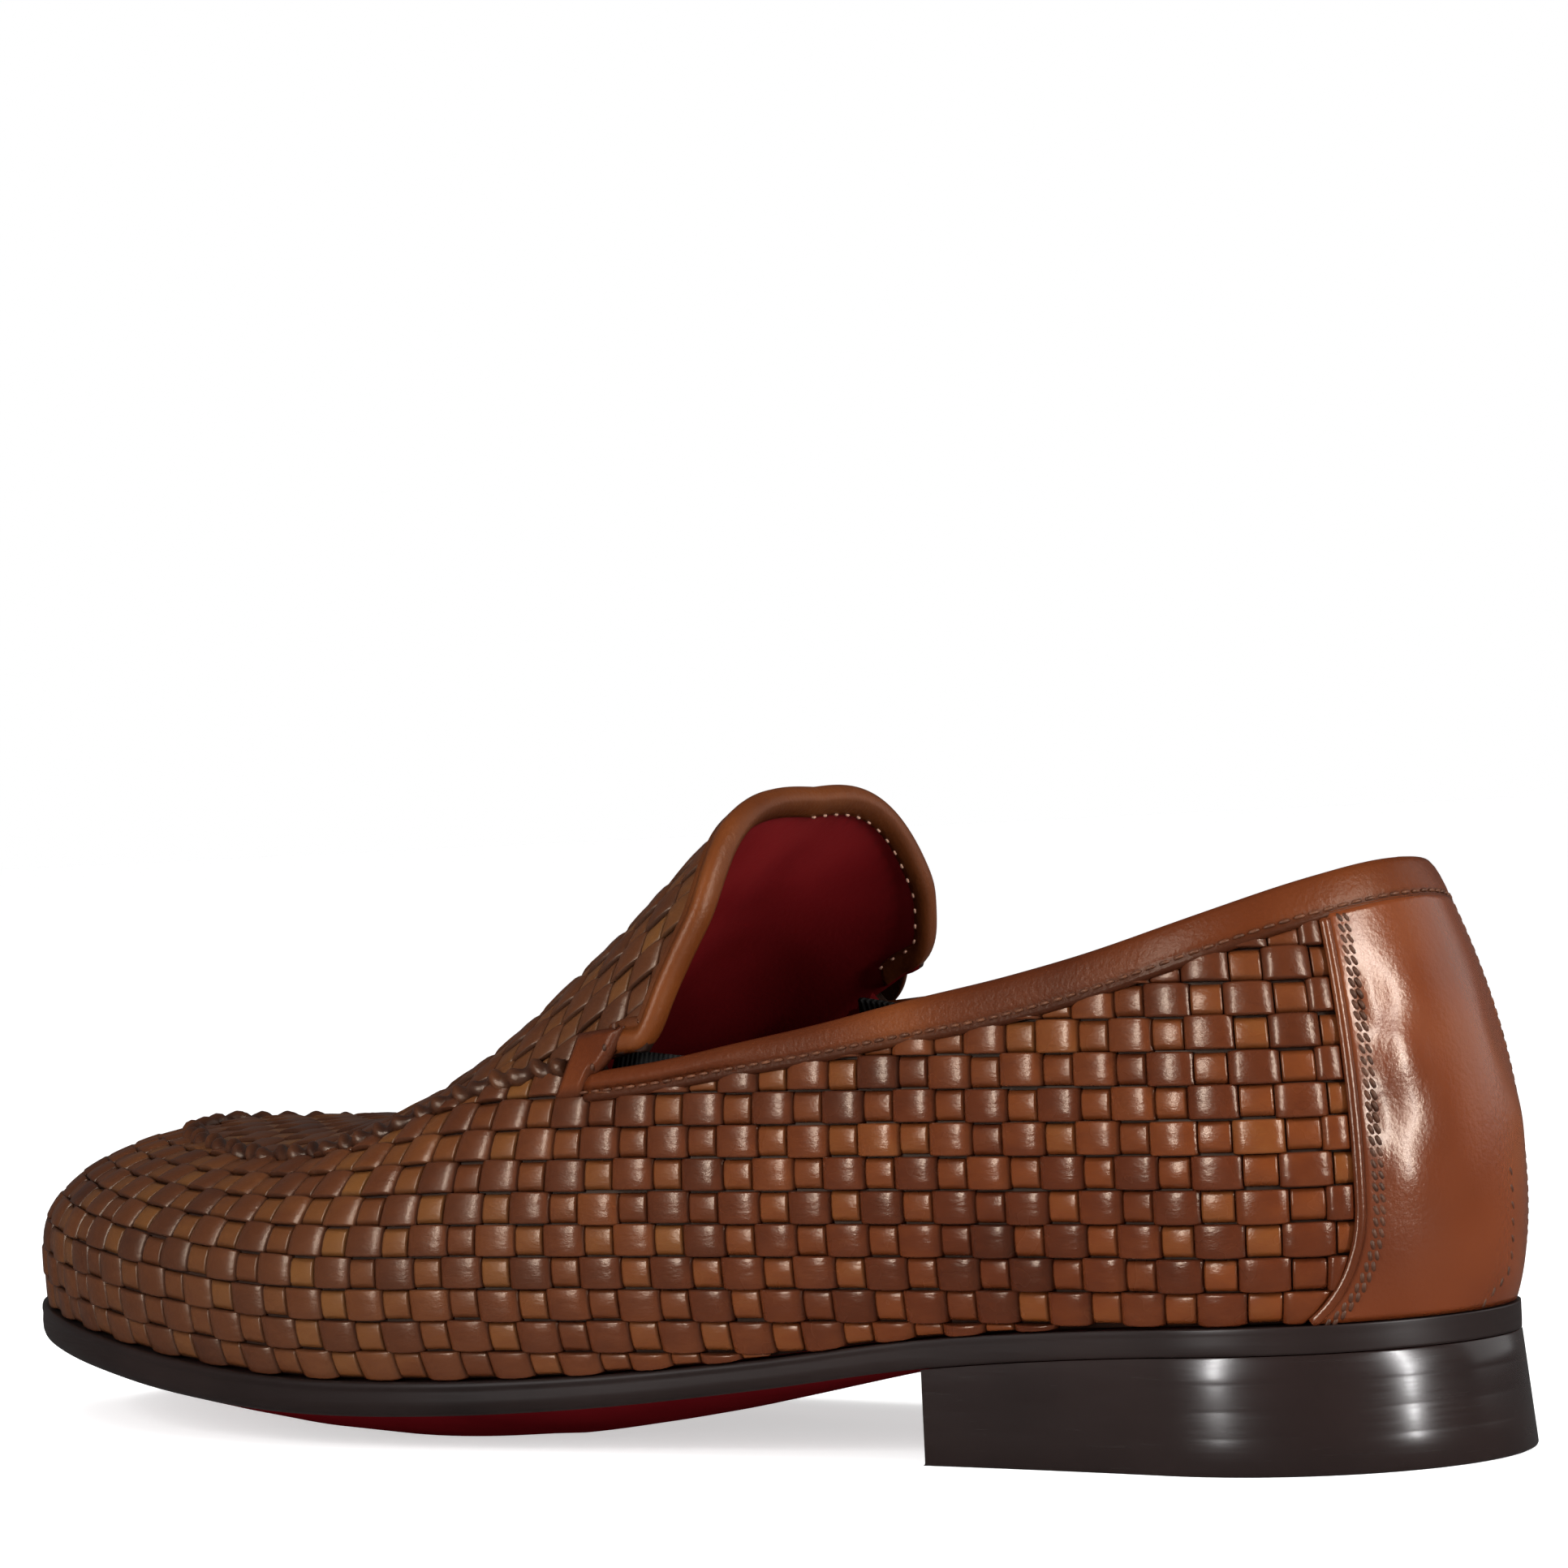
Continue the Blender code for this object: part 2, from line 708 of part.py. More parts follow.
def tongue_fold():
    """Section of the tongue's binding, with one more point on each side of its broad leaf."""
    ring = fold_offsets(TONGUE_BAND, TONGUE_SLACK)
    middle = TONGUE_BAND / 2
    over = GAP + TONGUE_SLACK
    return ring[:2] + [(middle, over + BINDING)] + ring[2:] + [(middle, over)]


def tongue_binding(layout):
    """Leather folded over the free edge of the tongue."""
    path, inward, slope = tongue_edge(layout)
    sections = []
    for place, into in list(zip(path, inward))[TONGUE_TRIM:-TONGUE_TRIM]:
        ring = []
        for distance, height in tongue_fold():
            spot = place + into * max(distance, 0)
            on_wall = apron_at(float(spot[0] / slope), float(spot[1]), height)
            edge = apron_at(float(place[0] / slope), float(place[1]), 0.0)
            inner = apron_at(*[float(c) for c in (place + into * EDGE_STEP) / (slope, 1)], 0.0)
            outward = (edge - inner) / np.linalg.norm(edge - inner)
            ring.append(on_wall + outward * max(-distance, 0))
        sections.append(ring)
    return swept(sections)


def counter_front(level):
    """How far round from the back the counter reaches. It spreads towards the sole."""
    return COUNTER_FRONT * (1 + COUNTER_SPREAD * max(1 - level / WAIST_LEVEL, 0) ** 2)


def close_plate(net, grids):
    """Faces of a thin plate between two grids of points, with its edges."""
    for grid in grids:
        for first, second in zip(grid[:-1], grid[1:]):
            net.strip(first, second)
    edges = []
    for grid in grids:
        lower = [line[0] for line in grid]
        higher = [line[-1] for line in grid]
        edges.append(lower + grid[-1][1:-1] + higher[::-1] + grid[0][-2:0:-1])
    net.loop(*edges)


def heel_counter(layout):
    """Smooth overlay round the back of the heel, under the binding."""
    turns = layout[0]
    behind = [(t + 1) % 2 - 1 for t in turns]
    behind = sorted(t for t in behind if abs(t) < COUNTER_FRONT - 2 * COUNTER_CLEAR)
    shares = [t / COUNTER_FRONT for t in [-COUNTER_FRONT, *behind, COUNTER_FRONT]]
    net = Net()
    grids = []
    for offset in (GAP, GAP + BINDING):
        grid = []
        for share in shares:
            turn = share * COUNTER_FRONT
            top = level_below(turn, collar_level(turn, BINDING + GAP), COLLAR_BAND + GAP)
            levels = np.linspace(COUNTER_FOOT, top, COUNTER_LEVELS)
            grid.append([net.point(wall_at(share * counter_front(v), v, offset)) for v in levels])
        grids.append(grid)
    close_plate(net, grids)
    return net


def gusset(side):
    """Elastic behind the notch between the collar and the tongue."""
    depth = WALL + 3 * GAP + BINDING + 2 * TONGUE_SLACK
    net = Net()
    grids = []
    for offset in (-depth - BINDING, -depth):
        grid = []
        for share in np.linspace(0, 1, GUSSET_LINES):
            s = GUSSET_TURNS[0] * (1 - share) + GUSSET_TURNS[1] * share
            turn = s if side < 0 else 2 - s
            rim = collar_level(turn, 0.0)
            above = GUSSET_ABOVE[0] * (1 - share) + GUSSET_ABOVE[1] * share
            ends = [level_below(turn, rim, distance) for distance in (GUSSET_BELOW, -above)]
            levels = np.linspace(*ends, GUSSET_LINES)
            grid.append([net.point(wall_at(turn, level, offset)) for level in levels])
        grids.append(grid)
    close_plate(net, grids)
    return net


def slab(alongs, place, half, top, bottom, across, edge_rings):
    """Closed plate. At a share of the thickness, place gives x and half an edge's y."""
    net = Net()

    def row(along, height, share):
        low, high = half(-1, along, share), half(1, along, share)
        if high - low < CLOSED:
            spot = net.point((place(along, share), (low + high) / 2, height(along, 0.0)))
            return [spot] * len(across)
        middle, reach = (low + high) / 2, (high - low) / 2
        x = place(along, share)
        return [net.point((x, middle + u * reach, height(along, u))) for u in across]

    upper_rows = [row(along, top, 1.0) for along in alongs]
    lower_rows = [row(along, bottom, 0.0) for along in alongs]
    for rows in (upper_rows, lower_rows):
        for first, second in zip(rows[:-1], rows[1:]):
            net.strip(first, second)

    def rim_of(rows):
        ends = [line[0] for line in rows] + rows[-1][1:-1] + [line[-1] for line in rows[::-1]]
        return list(dict.fromkeys(ends))

    rims = [rim_of(upper_rows)]
    for share in edge_rings:

        def height(along, u, share=share):
            return bottom(along, u) * (1 - share) + top(along, u) * share

        rims.append(rim_of([row(along, height, share) for along in alongs]))
    rims.append(rim_of(lower_rows))
    for first, second in zip(rims[:-1], rims[1:]):
        net.loop(first, second)
    used = sorted({i for face in net.faces for i in face})
    order = {old: new for new, old in enumerate(used)}
    net.points = [net.points[i] for i in used]
    net.faces = [[order[i] for i in face] for face in net.faces]
    return net


def plain_x(along, share):
    return HEEL_END - along


def rounded_steps(length, count):
    return [length * (1 - math.cos(math.pi * i / count)) / 2 for i in range(count + 1)]


def sole_top(along, u):
    lift = lookup(RISE, 2, along) * (1 + u) / 2
    return feather_z(-1, along) + lift - GAP


def sole_bottom(along, u):
    edge = sole_top(along, u) - lookup(RISE, 3, along)
    return max(edge - max(lookup(RISE, 4, along), 0) * (1 - abs(u) ** DOME_POWER), 0.0)


def outsole():
    """Sole with a thin waist, a domed bottom that stands on the ball, and toe spring."""

    def half(side, along, share):
        bevel = SOLE_BEVEL[round(share * 2)]
        return outline_y(side, along, 0.0, SOLE_LENGTH, lookup(RISE, 5, along) + bevel)

    alongs = rounded_steps(SOLE_LENGTH, SOLE_STEPS)
    return slab(alongs, plain_x, half, sole_top, sole_bottom, SOLE_ACROSS, [0.5])


def heel_steps(count):
    return [BREAST * (1 - math.cos(math.pi / 2 * i / count)) for i in range(count + 1)]


def heel_layer(low, high):
    """One layer of the heel between two shares of its height. The outline flares towards the floor."""

    def stack(along, u):
        return sole_bottom(along, 1.0 if u > 0 else -1.0) - GAP

    def height(along, u, share):
        return share * stack(along, u)

    def flare(along, share):
        return HEEL_FLARE * (1 - low - (high - low) * share) * (1 - along / BREAST)

    def place(along, share):
        return HEEL_END - along + flare(along, share)

    def half(side, along, share):
        return outline_y(side, along, 0.0, SOLE_LENGTH, lookup(RISE, 5, along) + flare(along, share) / 2)

    def top(along, u):
        return height(along, u, high) - (GAP if high < 1 else 0)

    def bottom(along, u):
        return height(along, u, low)

    return slab(heel_steps(HEEL_STEPS), place, half, top, bottom, PLATE_ACROSS, [])


def insole():
    """Insole board with its sock, lying on the sole inside the wall."""

    def half(side, along, share):
        inset = WALL + 2 * GAP
        first, last = HEEL_INSET + inset, SOLE_LENGTH - TOE_INSET - inset
        return outline_y(side, along, first, last, -inset)

    inset = HEEL_INSET + WALL + 2 * GAP
    length = SOLE_LENGTH - TOE_INSET - WALL - 2 * GAP - inset
    alongs = [inset + step for step in rounded_steps(length, SOLE_STEPS)]

    def bottom(along, u):
        return sole_top(along, u) + GAP

    def top(along, u):
        return bottom(along, u) + INSOLE

    return slab(alongs, plain_x, half, top, bottom, PLATE_ACROSS, [])


def material(name, colour, roughness):
    finish = bpy.data.materials.new(name)
    finish.use_nodes = True
    shader = finish.node_tree.nodes["Principled BSDF"]
    shader.inputs["Base Color"].default_value = (*colour, 1)
    shader.inputs["Roughness"].default_value = roughness
    shader.inputs["Metallic"].default_value = 0.0
    return finish


def add_piece(name, net, finish):
    mesh = bpy.data.meshes.new(name)
    mesh.from_pydata(net.points, [], net.faces)
    work = bmesh.new()
    work.from_mesh(mesh)
    bmesh.ops.triangulate(work, faces=work.faces)
    bmesh.ops.recalc_face_normals(work, faces=work.faces)
    work.to_mesh(mesh)
    work.free()
    mesh.materials.append(finish)
    piece = bpy.data.objects.new(name, mesh)
    bpy.context.scene.collection.objects.link(piece)
    return piece


def main():
    for old in list(bpy.data.objects):
        bpy.data.objects.remove(old)
    woven = material("woven_leather", (0.20, 0.075, 0.035), 0.45)
    smooth = material("smooth_leather", (0.24, 0.085, 0.035), 0.35)
    tan = material("tan_leather", (0.36, 0.14, 0.045), 0.40)
    sole = material("sole_leather", (0.030, 0.016, 0.012), 0.30)
    lining = material("lining_leather", (0.13, 0.010, 0.010), 0.55)
    elastic = material("elastic", (0.012, 0.012, 0.012), 0.80)

    layout = upper_layout()
    add_piece("upper", upper(layout), woven)
    add_piece("collar_binding", collar_binding(layout), smooth)
    add_piece("tongue_binding", tongue_binding(layout), tan)
    add_piece("heel_counter", heel_counter(layout), smooth)
    add_piece("gusset_lateral", gusset(-1), elastic)
    add_piece("gusset_medial", gusset(1), elastic)
    add_piece("insole", insole(), lining)
    add_piece("outsole", outsole(), sole)
    base = TOP_PIECE / HEEL_HEIGHT
    add_piece("heel_top_piece", heel_layer(0.0, base), sole)
    for i in range(LIFTS):
        low = base + (1 - base) * i / LIFTS
        high = base + (1 - base) * (i + 1) / LIFTS
        add_piece(f"heel_lift_{LIFTS - i}", heel_layer(low, high), sole)


main()
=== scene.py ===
"""Looks of a woven leather loafer, a left shoe. Metres, +Z up, heel towards +X.

"Along" is the distance from the back of the heel towards the toe. The lateral (outer) side is at -Y.
A turn runs from 0 at the heel along the lateral side to the toe (1) and back along the medial side (2).
"Arc" is the distance up the wall from the feather line, and on the apron "ridge" and "across" are
distances on its surface.
"""

import math

import bmesh
import bpy
import numpy as np
from mathutils import Matrix

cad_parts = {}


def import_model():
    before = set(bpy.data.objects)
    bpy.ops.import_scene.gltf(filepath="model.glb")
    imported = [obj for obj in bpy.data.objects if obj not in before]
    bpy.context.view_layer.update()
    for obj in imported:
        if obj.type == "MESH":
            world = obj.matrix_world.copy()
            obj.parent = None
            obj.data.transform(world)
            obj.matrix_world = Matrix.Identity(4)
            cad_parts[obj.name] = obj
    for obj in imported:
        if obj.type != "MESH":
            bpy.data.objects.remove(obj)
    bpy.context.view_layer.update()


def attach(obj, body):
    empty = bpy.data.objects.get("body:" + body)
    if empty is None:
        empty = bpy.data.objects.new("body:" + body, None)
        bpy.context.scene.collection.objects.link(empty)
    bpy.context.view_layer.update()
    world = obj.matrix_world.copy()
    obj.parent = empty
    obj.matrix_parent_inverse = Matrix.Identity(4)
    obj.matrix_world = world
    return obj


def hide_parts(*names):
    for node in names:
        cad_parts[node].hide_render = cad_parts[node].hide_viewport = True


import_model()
random = np.random.default_rng(7)

# Overall sizes
SOLE_LENGTH = 0.2985
HEEL_END = 0.1483
SIDE_SHIFT = -0.0002
HEEL_INSET = 0.002
TOE_INSET = 0.0015
HEEL_ROUND = 0.034
TOE_ROUND = 0.066
TOE_POWER = 2.1
TOE_SHIFT = 0.006
SHIFT_FROM = 0.150
HEEL_PIVOT = 0.034
TOE_PIVOT = 0.246
WAIST_LEVEL = 0.25
TUCK = math.radians(35)
DOME_POWER = 2.4

# Thicknesses and clearances
GAP = 0.0003
WALL = 0.0020
BINDING = 0.0010
INSOLE = 0.0028

# Weave
ROW = 0.0050
HALF_PERIOD = 0.0065
ROW_LEVEL_FROM = 0.165
WIDE_REACH = 0.12
ROW_GAP = 0.00006
WIDE_HIGH = 0.00130
WIDE_POWER = 3.2
APRON_BULGE = 0.6
TOE_BULGE = 0.75
WIDE_LOW = 0.00005
NARROW_HIGH = 0.00055
EDGE_DROP = 0.00014
SKIRT = -0.0008
BASE_DEPTH = 0.0004
SMALLEST_CELL = 0.0009

# Collar, tongue, counter and heel
COLLAR_BAND = 0.0063
COLLAR_TAPER = 0.0025
TAPER_TURNS = (0.28, 0.46)
TONGUE_BAND = 0.0040
TONGUE_END = 0.1215
TONGUE_SLACK = 0.0005
APRON_FRONT = 0.262
APRON_ROUND = 0.050
THROAT_RIDGE = 3 * HALF_PERIOD
COUNTER_FRONT = 0.098
COUNTER_SPREAD = 0.30
BREAST = 0.078
TOP_PIECE = 0.0056
HEEL_HEIGHT = 0.0176
LIFTS = 3
HEEL_FLARE = 0.0018

# Half widths of the feather line: along, lateral, medial
FEATHER = [
    (0.000, 0.0320, 0.0320),
    (0.030, 0.0315, 0.0315),
    (0.060, 0.0320, 0.0315),
    (0.090, 0.0340, 0.0295),
    (0.120, 0.0375, 0.0285),
    (0.150, 0.0420, 0.0320),
    (0.180, 0.0465, 0.0385),
    (0.205, 0.0480, 0.0430),
    (0.230, 0.0465, 0.0440),
    (0.255, 0.0435, 0.0425),
    (0.280, 0.0400, 0.0390),
    (0.300, 0.0380, 0.0370),
]

# Height of the feather line and the sole under it: along, height, medial lift, sole edge, dome, margin
RISE = [
    (0.000, 0.0219, 0.0000, 0.0040, 0.0000, 0.0013),
    (0.040, 0.0212, 0.0000, 0.0040, 0.0000, 0.0012),
    (0.080, 0.0189, 0.0004, 0.0043, 0.0000, 0.0010),
    (0.110, 0.0154, 0.0010, 0.0046, 0.0020, 0.0006),
    (0.140, 0.0128, 0.0010, 0.0051, 0.0046, 0.0008),
    (0.170, 0.0116, 0.0004, 0.0055, 0.0066, 0.0013),
    (0.200, 0.0118, 0.0000, 0.0057, 0.0066, 0.0017),
    (0.225, 0.0136, 0.0000, 0.0057, 0.0050, 0.0018),
    (0.250, 0.0164, 0.0000, 0.0056, 0.0030, 0.0017),
    (0.275, 0.0188, 0.0000, 0.0055, 0.0016, 0.0016),
    (0.300, 0.0206, 0.0000, 0.0054, 0.0004, 0.0015),
]

# Wall sections: along, ridge height, lateral bulge, medial bulge, waist above feather, roundness
SECTION = [
    (0.000, 0.1285, 0.0023, 0.0023, 0.015, 2.40),
    (0.045, 0.1300, 0.0028, 0.0032, 0.024, 1.60),
    (0.090, 0.1210, 0.0030, 0.0055, 0.022, 1.05),
    (0.120, 0.1038, 0.0030, 0.0090, 0.020, 0.70),
    (0.150, 0.0855, 0.0030, 0.0075, 0.018, 0.95),
    (0.180, 0.0668, 0.0030, 0.0045, 0.016, 1.10),
    (0.205, 0.0556, 0.0025, 0.0032, 0.015, 0.98),
    (0.230, 0.0508, 0.0020, 0.0025, 0.014, 0.84),
    (0.255, 0.0498, 0.0015, 0.0018, 0.013, 0.78),
    (0.280, 0.0496, 0.0005, 0.0005, 0.011, 0.76),
    (0.300, 0.0496, 0.0000, 0.0000, 0.008, 0.95),
]

# Top of the collar: along, lateral height, medial height
COLLAR = [
    (0.000, 0.0893, 0.0893),
    (0.009, 0.0888, 0.0888),
    (0.016, 0.0861, 0.0863),
    (0.027, 0.0819, 0.0826),
    (0.043, 0.0770, 0.0786),
    (0.060, 0.0731, 0.0755),
    (0.078, 0.0698, 0.0730),
    (0.095, 0.0664, 0.0707),
    (0.110, 0.0638, 0.0692),
    (0.122, 0.0617, 0.0682),
    (0.140, 0.0597, 0.0668),
]

# Half widths of the apron and tongue in plan: along, lateral, medial
APRON = [
    (0.1215, 0.0335, 0.0298),
    (0.125, 0.0374, 0.0322),
    (0.131, 0.0384, 0.0325),
    (0.140, 0.0386, 0.0325),
    (0.155, 0.0382, 0.0331),
    (0.170, 0.0371, 0.0341),
    (0.190, 0.0370, 0.0355),
    (0.205, 0.0355, 0.0355),
    (0.217, 0.0340, 0.0340),
    (0.229, 0.0315, 0.0315),
    (0.262, 0.0280, 0.0280),
]

# Grids of the wall and the apron, and where the search for their edges starts
WALL_TURNS = (-0.05, 2.05)
WALL_GIRTH = 0.126
GRID_STEP = 0.0005
APRON_SPARE = 0.004
APRON_HALF = 0.0405
APRON_GIRTH = 0.062
OFFSETS = 163
RIDGE_STEP = 0.0008
COLLAR_LEVEL = 0.2
SEAM_LEVEL = 0.3
THROAT_SEARCH = (0.35, 0.60)

# Columns of the worked-out sections
ALONG = 0
FOOT = 6

# Camera, fitted to the photograph's frame
PHOTO_SIDE = 1932
CAMERA_AZIMUTH = math.radians(41.1)
CAMERA_PLACE = (0.6267, -0.7207, 0.0984)
CAMERA_ROLL = math.radians(2.74)
FOCAL_PIXELS = 7287.5
CENTRE_PIXEL = (837.6, 1008.0)
SENSOR = 36.0


# The shape of the last

def lookup(table, column, along):
    """Value of a table's column at distances along the shoe, on a smooth curve through its rows."""
    rows = np.array(table)
    stops, values = rows[:, 0], rows[:, column]
    gaps = np.diff(stops)
    slopes = np.diff(values) / gaps
    inner = (slopes[:-1] * gaps[1:] + slopes[1:] * gaps[:-1]) / (gaps[1:] + gaps[:-1])
    tangents = np.concatenate((slopes[:1], inner, slopes[-1:]))
    i = np.clip(np.searchsorted(stops, along) - 1, 0, len(gaps) - 1)
    t = (along - stops[i]) / gaps[i]
    start = (1 + 2 * t) * (1 - t) ** 2 * values[i] + t * (1 - t) ** 2 * gaps[i] * tangents[i]
    end = t * t * (3 - 2 * t) * values[i + 1] + t * t * (t - 1) * gaps[i] * tangents[i + 1]
    return start + end


def smooth(value, low, high):
    t = np.clip((value - low) / (high - low), 0, 1)
    return t * t * (3 - 2 * t)


def unit(vectors):
    return vectors / np.linalg.norm(vectors, axis=-1, keepdims=True)


def distances(points):
    """Distance of each point of a line from the first one, measured along the line."""
    return np.concatenate(([0], np.cumsum(np.linalg.norm(np.diff(points, axis=0), axis=1))))


def on_side(side, turn):
    """A turn on the lateral side, or its mirror image on the medial side."""
    return turn if side < 0 else 2 - turn


def axis_y(along):
    """The centre line swings to the medial side towards the toe."""
    return SIDE_SHIFT + TOE_SHIFT * smooth(along, SHIFT_FROM, SOLE_LENGTH)


def by_side(side, table, column, along):
    """The lateral column of a table, or the medial one next to it."""
    return np.where(side < 0, lookup(table, column, along), lookup(table, column + 1, along))


def outline_y(side, along, first, last, margin=0.0):
    """Edge of an outline that runs from first to last, rounded at heel and toe."""
    heel = np.clip((along - first) / HEEL_ROUND, 0, 1)
    toe = np.clip((last - along) / TOE_ROUND, 0, 1)
    heel_part = np.sqrt(1 - (1 - heel) ** 2)
    toe_part = (1 - (1 - toe) ** TOE_POWER) ** (1 / TOE_POWER)
    return axis_y(along) + side * (by_side(side, FEATHER, 1, along) + margin) * heel_part * toe_part


def side_of(turn):
    return np.where(np.mod(turn, 2) <= 1, -1.0, 1.0)


def section_table(turns):
    """Rows of along, pivot, plan direction, reach, feather height, ridge, bulge, waist and roundness."""
    side = side_of(turns)
    first, last = HEEL_INSET, SOLE_LENGTH - TOE_INSET
    share = (1 - np.cos(np.pi * turns)) / 2
    along = first + (last - first) * share
    pivot_along = HEEL_PIVOT + (TOE_PIVOT - HEEL_PIVOT) * share
    pivot = np.stack([HEEL_END - pivot_along, axis_y(pivot_along)], axis=1)
    out = np.stack([HEEL_END - along, outline_y(side, along, first, last)], axis=1) - pivot
    reach = np.linalg.norm(out, axis=1)
    foot = lookup(RISE, 1, along) + np.where(side > 0, lookup(RISE, 2, along), 0)
    shape = [lookup(SECTION, 1, along), by_side(side, SECTION, 2, along)]
    shape += [lookup(SECTION, 4, along), lookup(SECTION, 5, along)]
    return np.stack([along, *pivot.T, *(out / reach[:, None]).T, reach, foot, *shape], axis=1)


SECTIONS = section_table(np.linspace(0, 2, 4001))


def section(turn):
    """The columns of the section table at turns, each with the shape of turn."""
    spot = np.mod(turn, 2) / 2 * (len(SECTIONS) - 1)
    i = np.minimum(spot.astype(int), len(SECTIONS) - 2)
    f = (spot - i)[..., None]
    return np.moveaxis(SECTIONS[i] * (1 - f) + SECTIONS[i + 1] * f, -1, 0)


def wall_point(turn, level):
    """Points on the outside of the last. Level is 0 at the feather line and 1 at the ridge."""
    turn, level = np.broadcast_arrays(np.asarray(turn, float), np.asarray(level, float))
    _, px, py, ox, oy, reach, foot, ridge, bulge, waist, power = section(turn)
    angle = TUCK + level / WAIST_LEVEL * (math.pi / 2 - TUCK)
    low_r = reach + bulge * (np.sin(angle) - math.sin(TUCK)) / (1 - math.sin(TUCK))
    low_z = foot + waist * (1 - np.cos(angle) / math.cos(TUCK))
    angle = np.clip((level - WAIST_LEVEL) / (1 - WAIST_LEVEL), 0, 1) * math.pi / 2
    high_r = (reach + bulge) * np.maximum(np.cos(angle), 0) ** power
    high_z = foot + waist + (ridge - foot - waist) * np.sin(angle)
    r = np.where(level < WAIST_LEVEL, low_r, high_r)
    z = np.where(level < WAIST_LEVEL, low_z, high_z)
    return np.stack([px + ox * r, py + oy * r, z], axis=-1)


class Sheet:
    """A curved surface kept as a grid of points and normals over two even coordinates."""

    def __init__(self, rows, columns, points):
        self.rows, self.columns = rows, columns
        normals = np.cross(np.gradient(points, axis=1), np.gradient(points, axis=0))
        lengths = np.linalg.norm(normals, axis=2, keepdims=True)
        normals = np.where(lengths > 1e-12, normals / np.maximum(lengths, 1e-12), (0, 0, 1))
        self.grid = np.concatenate((points, normals), axis=2)

    def look(self, row, column):
        """Points and normals at places on the sheet. A place past its end gives the end."""
        row, column = np.broadcast_arrays(np.asarray(row, float), np.asarray(column, float))
        a = (row - self.rows[0]) / (self.rows[1] - self.rows[0])
        b = (column - self.columns[0]) / (self.columns[1] - self.columns[0])
        a = np.clip(a, 0, len(self.rows) - 1.001)
        b = np.clip(b, 0, len(self.columns) - 1.001)
        i, j = a.astype(int), b.astype(int)
        f, g = (a - i)[..., None], (b - j)[..., None]
        low = self.grid[i, j] * (1 - g) + self.grid[i, j + 1] * g
        high = self.grid[i + 1, j] * (1 - g) + self.grid[i + 1, j + 1] * g
        found = low * (1 - f) + high * f
        return found[..., :3], unit(found[..., 3:])

    def at(self, row, column, offset=0.0):
        """Points at places on the sheet, raised along its normals."""
        point, normal = self.look(row, column)
        return point + normal * np.asarray(offset)[..., None]


def make_wall():
    """The side wall over turn and arc, and the level at each of its grid places."""
    turns = np.linspace(*WALL_TURNS, 1261)
    arcs = np.arange(0, WALL_GIRTH, GRID_STEP)
    levels = np.linspace(0, 1, 201)
    points = wall_point(turns[:, None], levels[None, :])
    steps = np.linalg.norm(np.diff(points, axis=1), axis=2)
    girths = np.concatenate((np.zeros((len(turns), 1)), np.cumsum(steps, axis=1)), axis=1)
    at_arcs = np.array([np.interp(arcs, girth, levels) for girth in girths])
    return Sheet(turns, arcs, wall_point(turns[:, None], at_arcs)), at_arcs


def crown_z(x, y):
    """Heights of the last over one line of plan points."""
    heights = np.empty_like(y)
    for side in (-1, 1):
        chosen = (y - axis_y(HEEL_END - x)) * side > 0
        if side < 0:
            chosen |= y == axis_y(HEEL_END - x)
        stops = np.linspace(0.02, 1, 500)
        turns = on_side(side, stops)
        _, px, py, ox, oy = section(turns)[:5]
        rx, ry = x[chosen, None] - px, y[chosen, None] - py
        crossing = ox * ry - oy * rx
        ahead = ox * rx + oy * ry > -1e-6
        hit = (crossing[:, :-1] * crossing[:, 1:] <= 0) & (ahead[:, :-1] | ahead[:, 1:])
        i = hit.argmax(axis=1)
        row = np.arange(len(i))
        before, after = crossing[row, i], crossing[row, i + 1]
        share = before / (before - after + 1e-15)
        turn = turns[i] + (turns[i + 1] - turns[i]) * share
        turn = np.where(hit.any(axis=1), turn, turns[np.abs(crossing).argmin(axis=1)])
        _, px, py, _, _, reach, foot, ridge, bulge, waist, power = section(turn)
        r = np.hypot(x[chosen] - px, y[chosen] - py)
        part = np.minimum(r / (reach + bulge), 1) ** (1 / power)
        heights[chosen] = foot + waist + (ridge - foot - waist) * np.sqrt(1 - part**2)
    return heights


def apron_half(side, along):
    """Half width of the apron in plan, which closes in a round front."""
    front = np.clip((APRON_FRONT - along) / APRON_ROUND, 0, 1)
    rounding = (1 - (1 - front) ** TOE_POWER) ** (1 / TOE_POWER)
    half = by_side(side, APRON, 1, along) * rounding
    return np.where(along >= APRON_FRONT, APRON_FRONT - along, half)


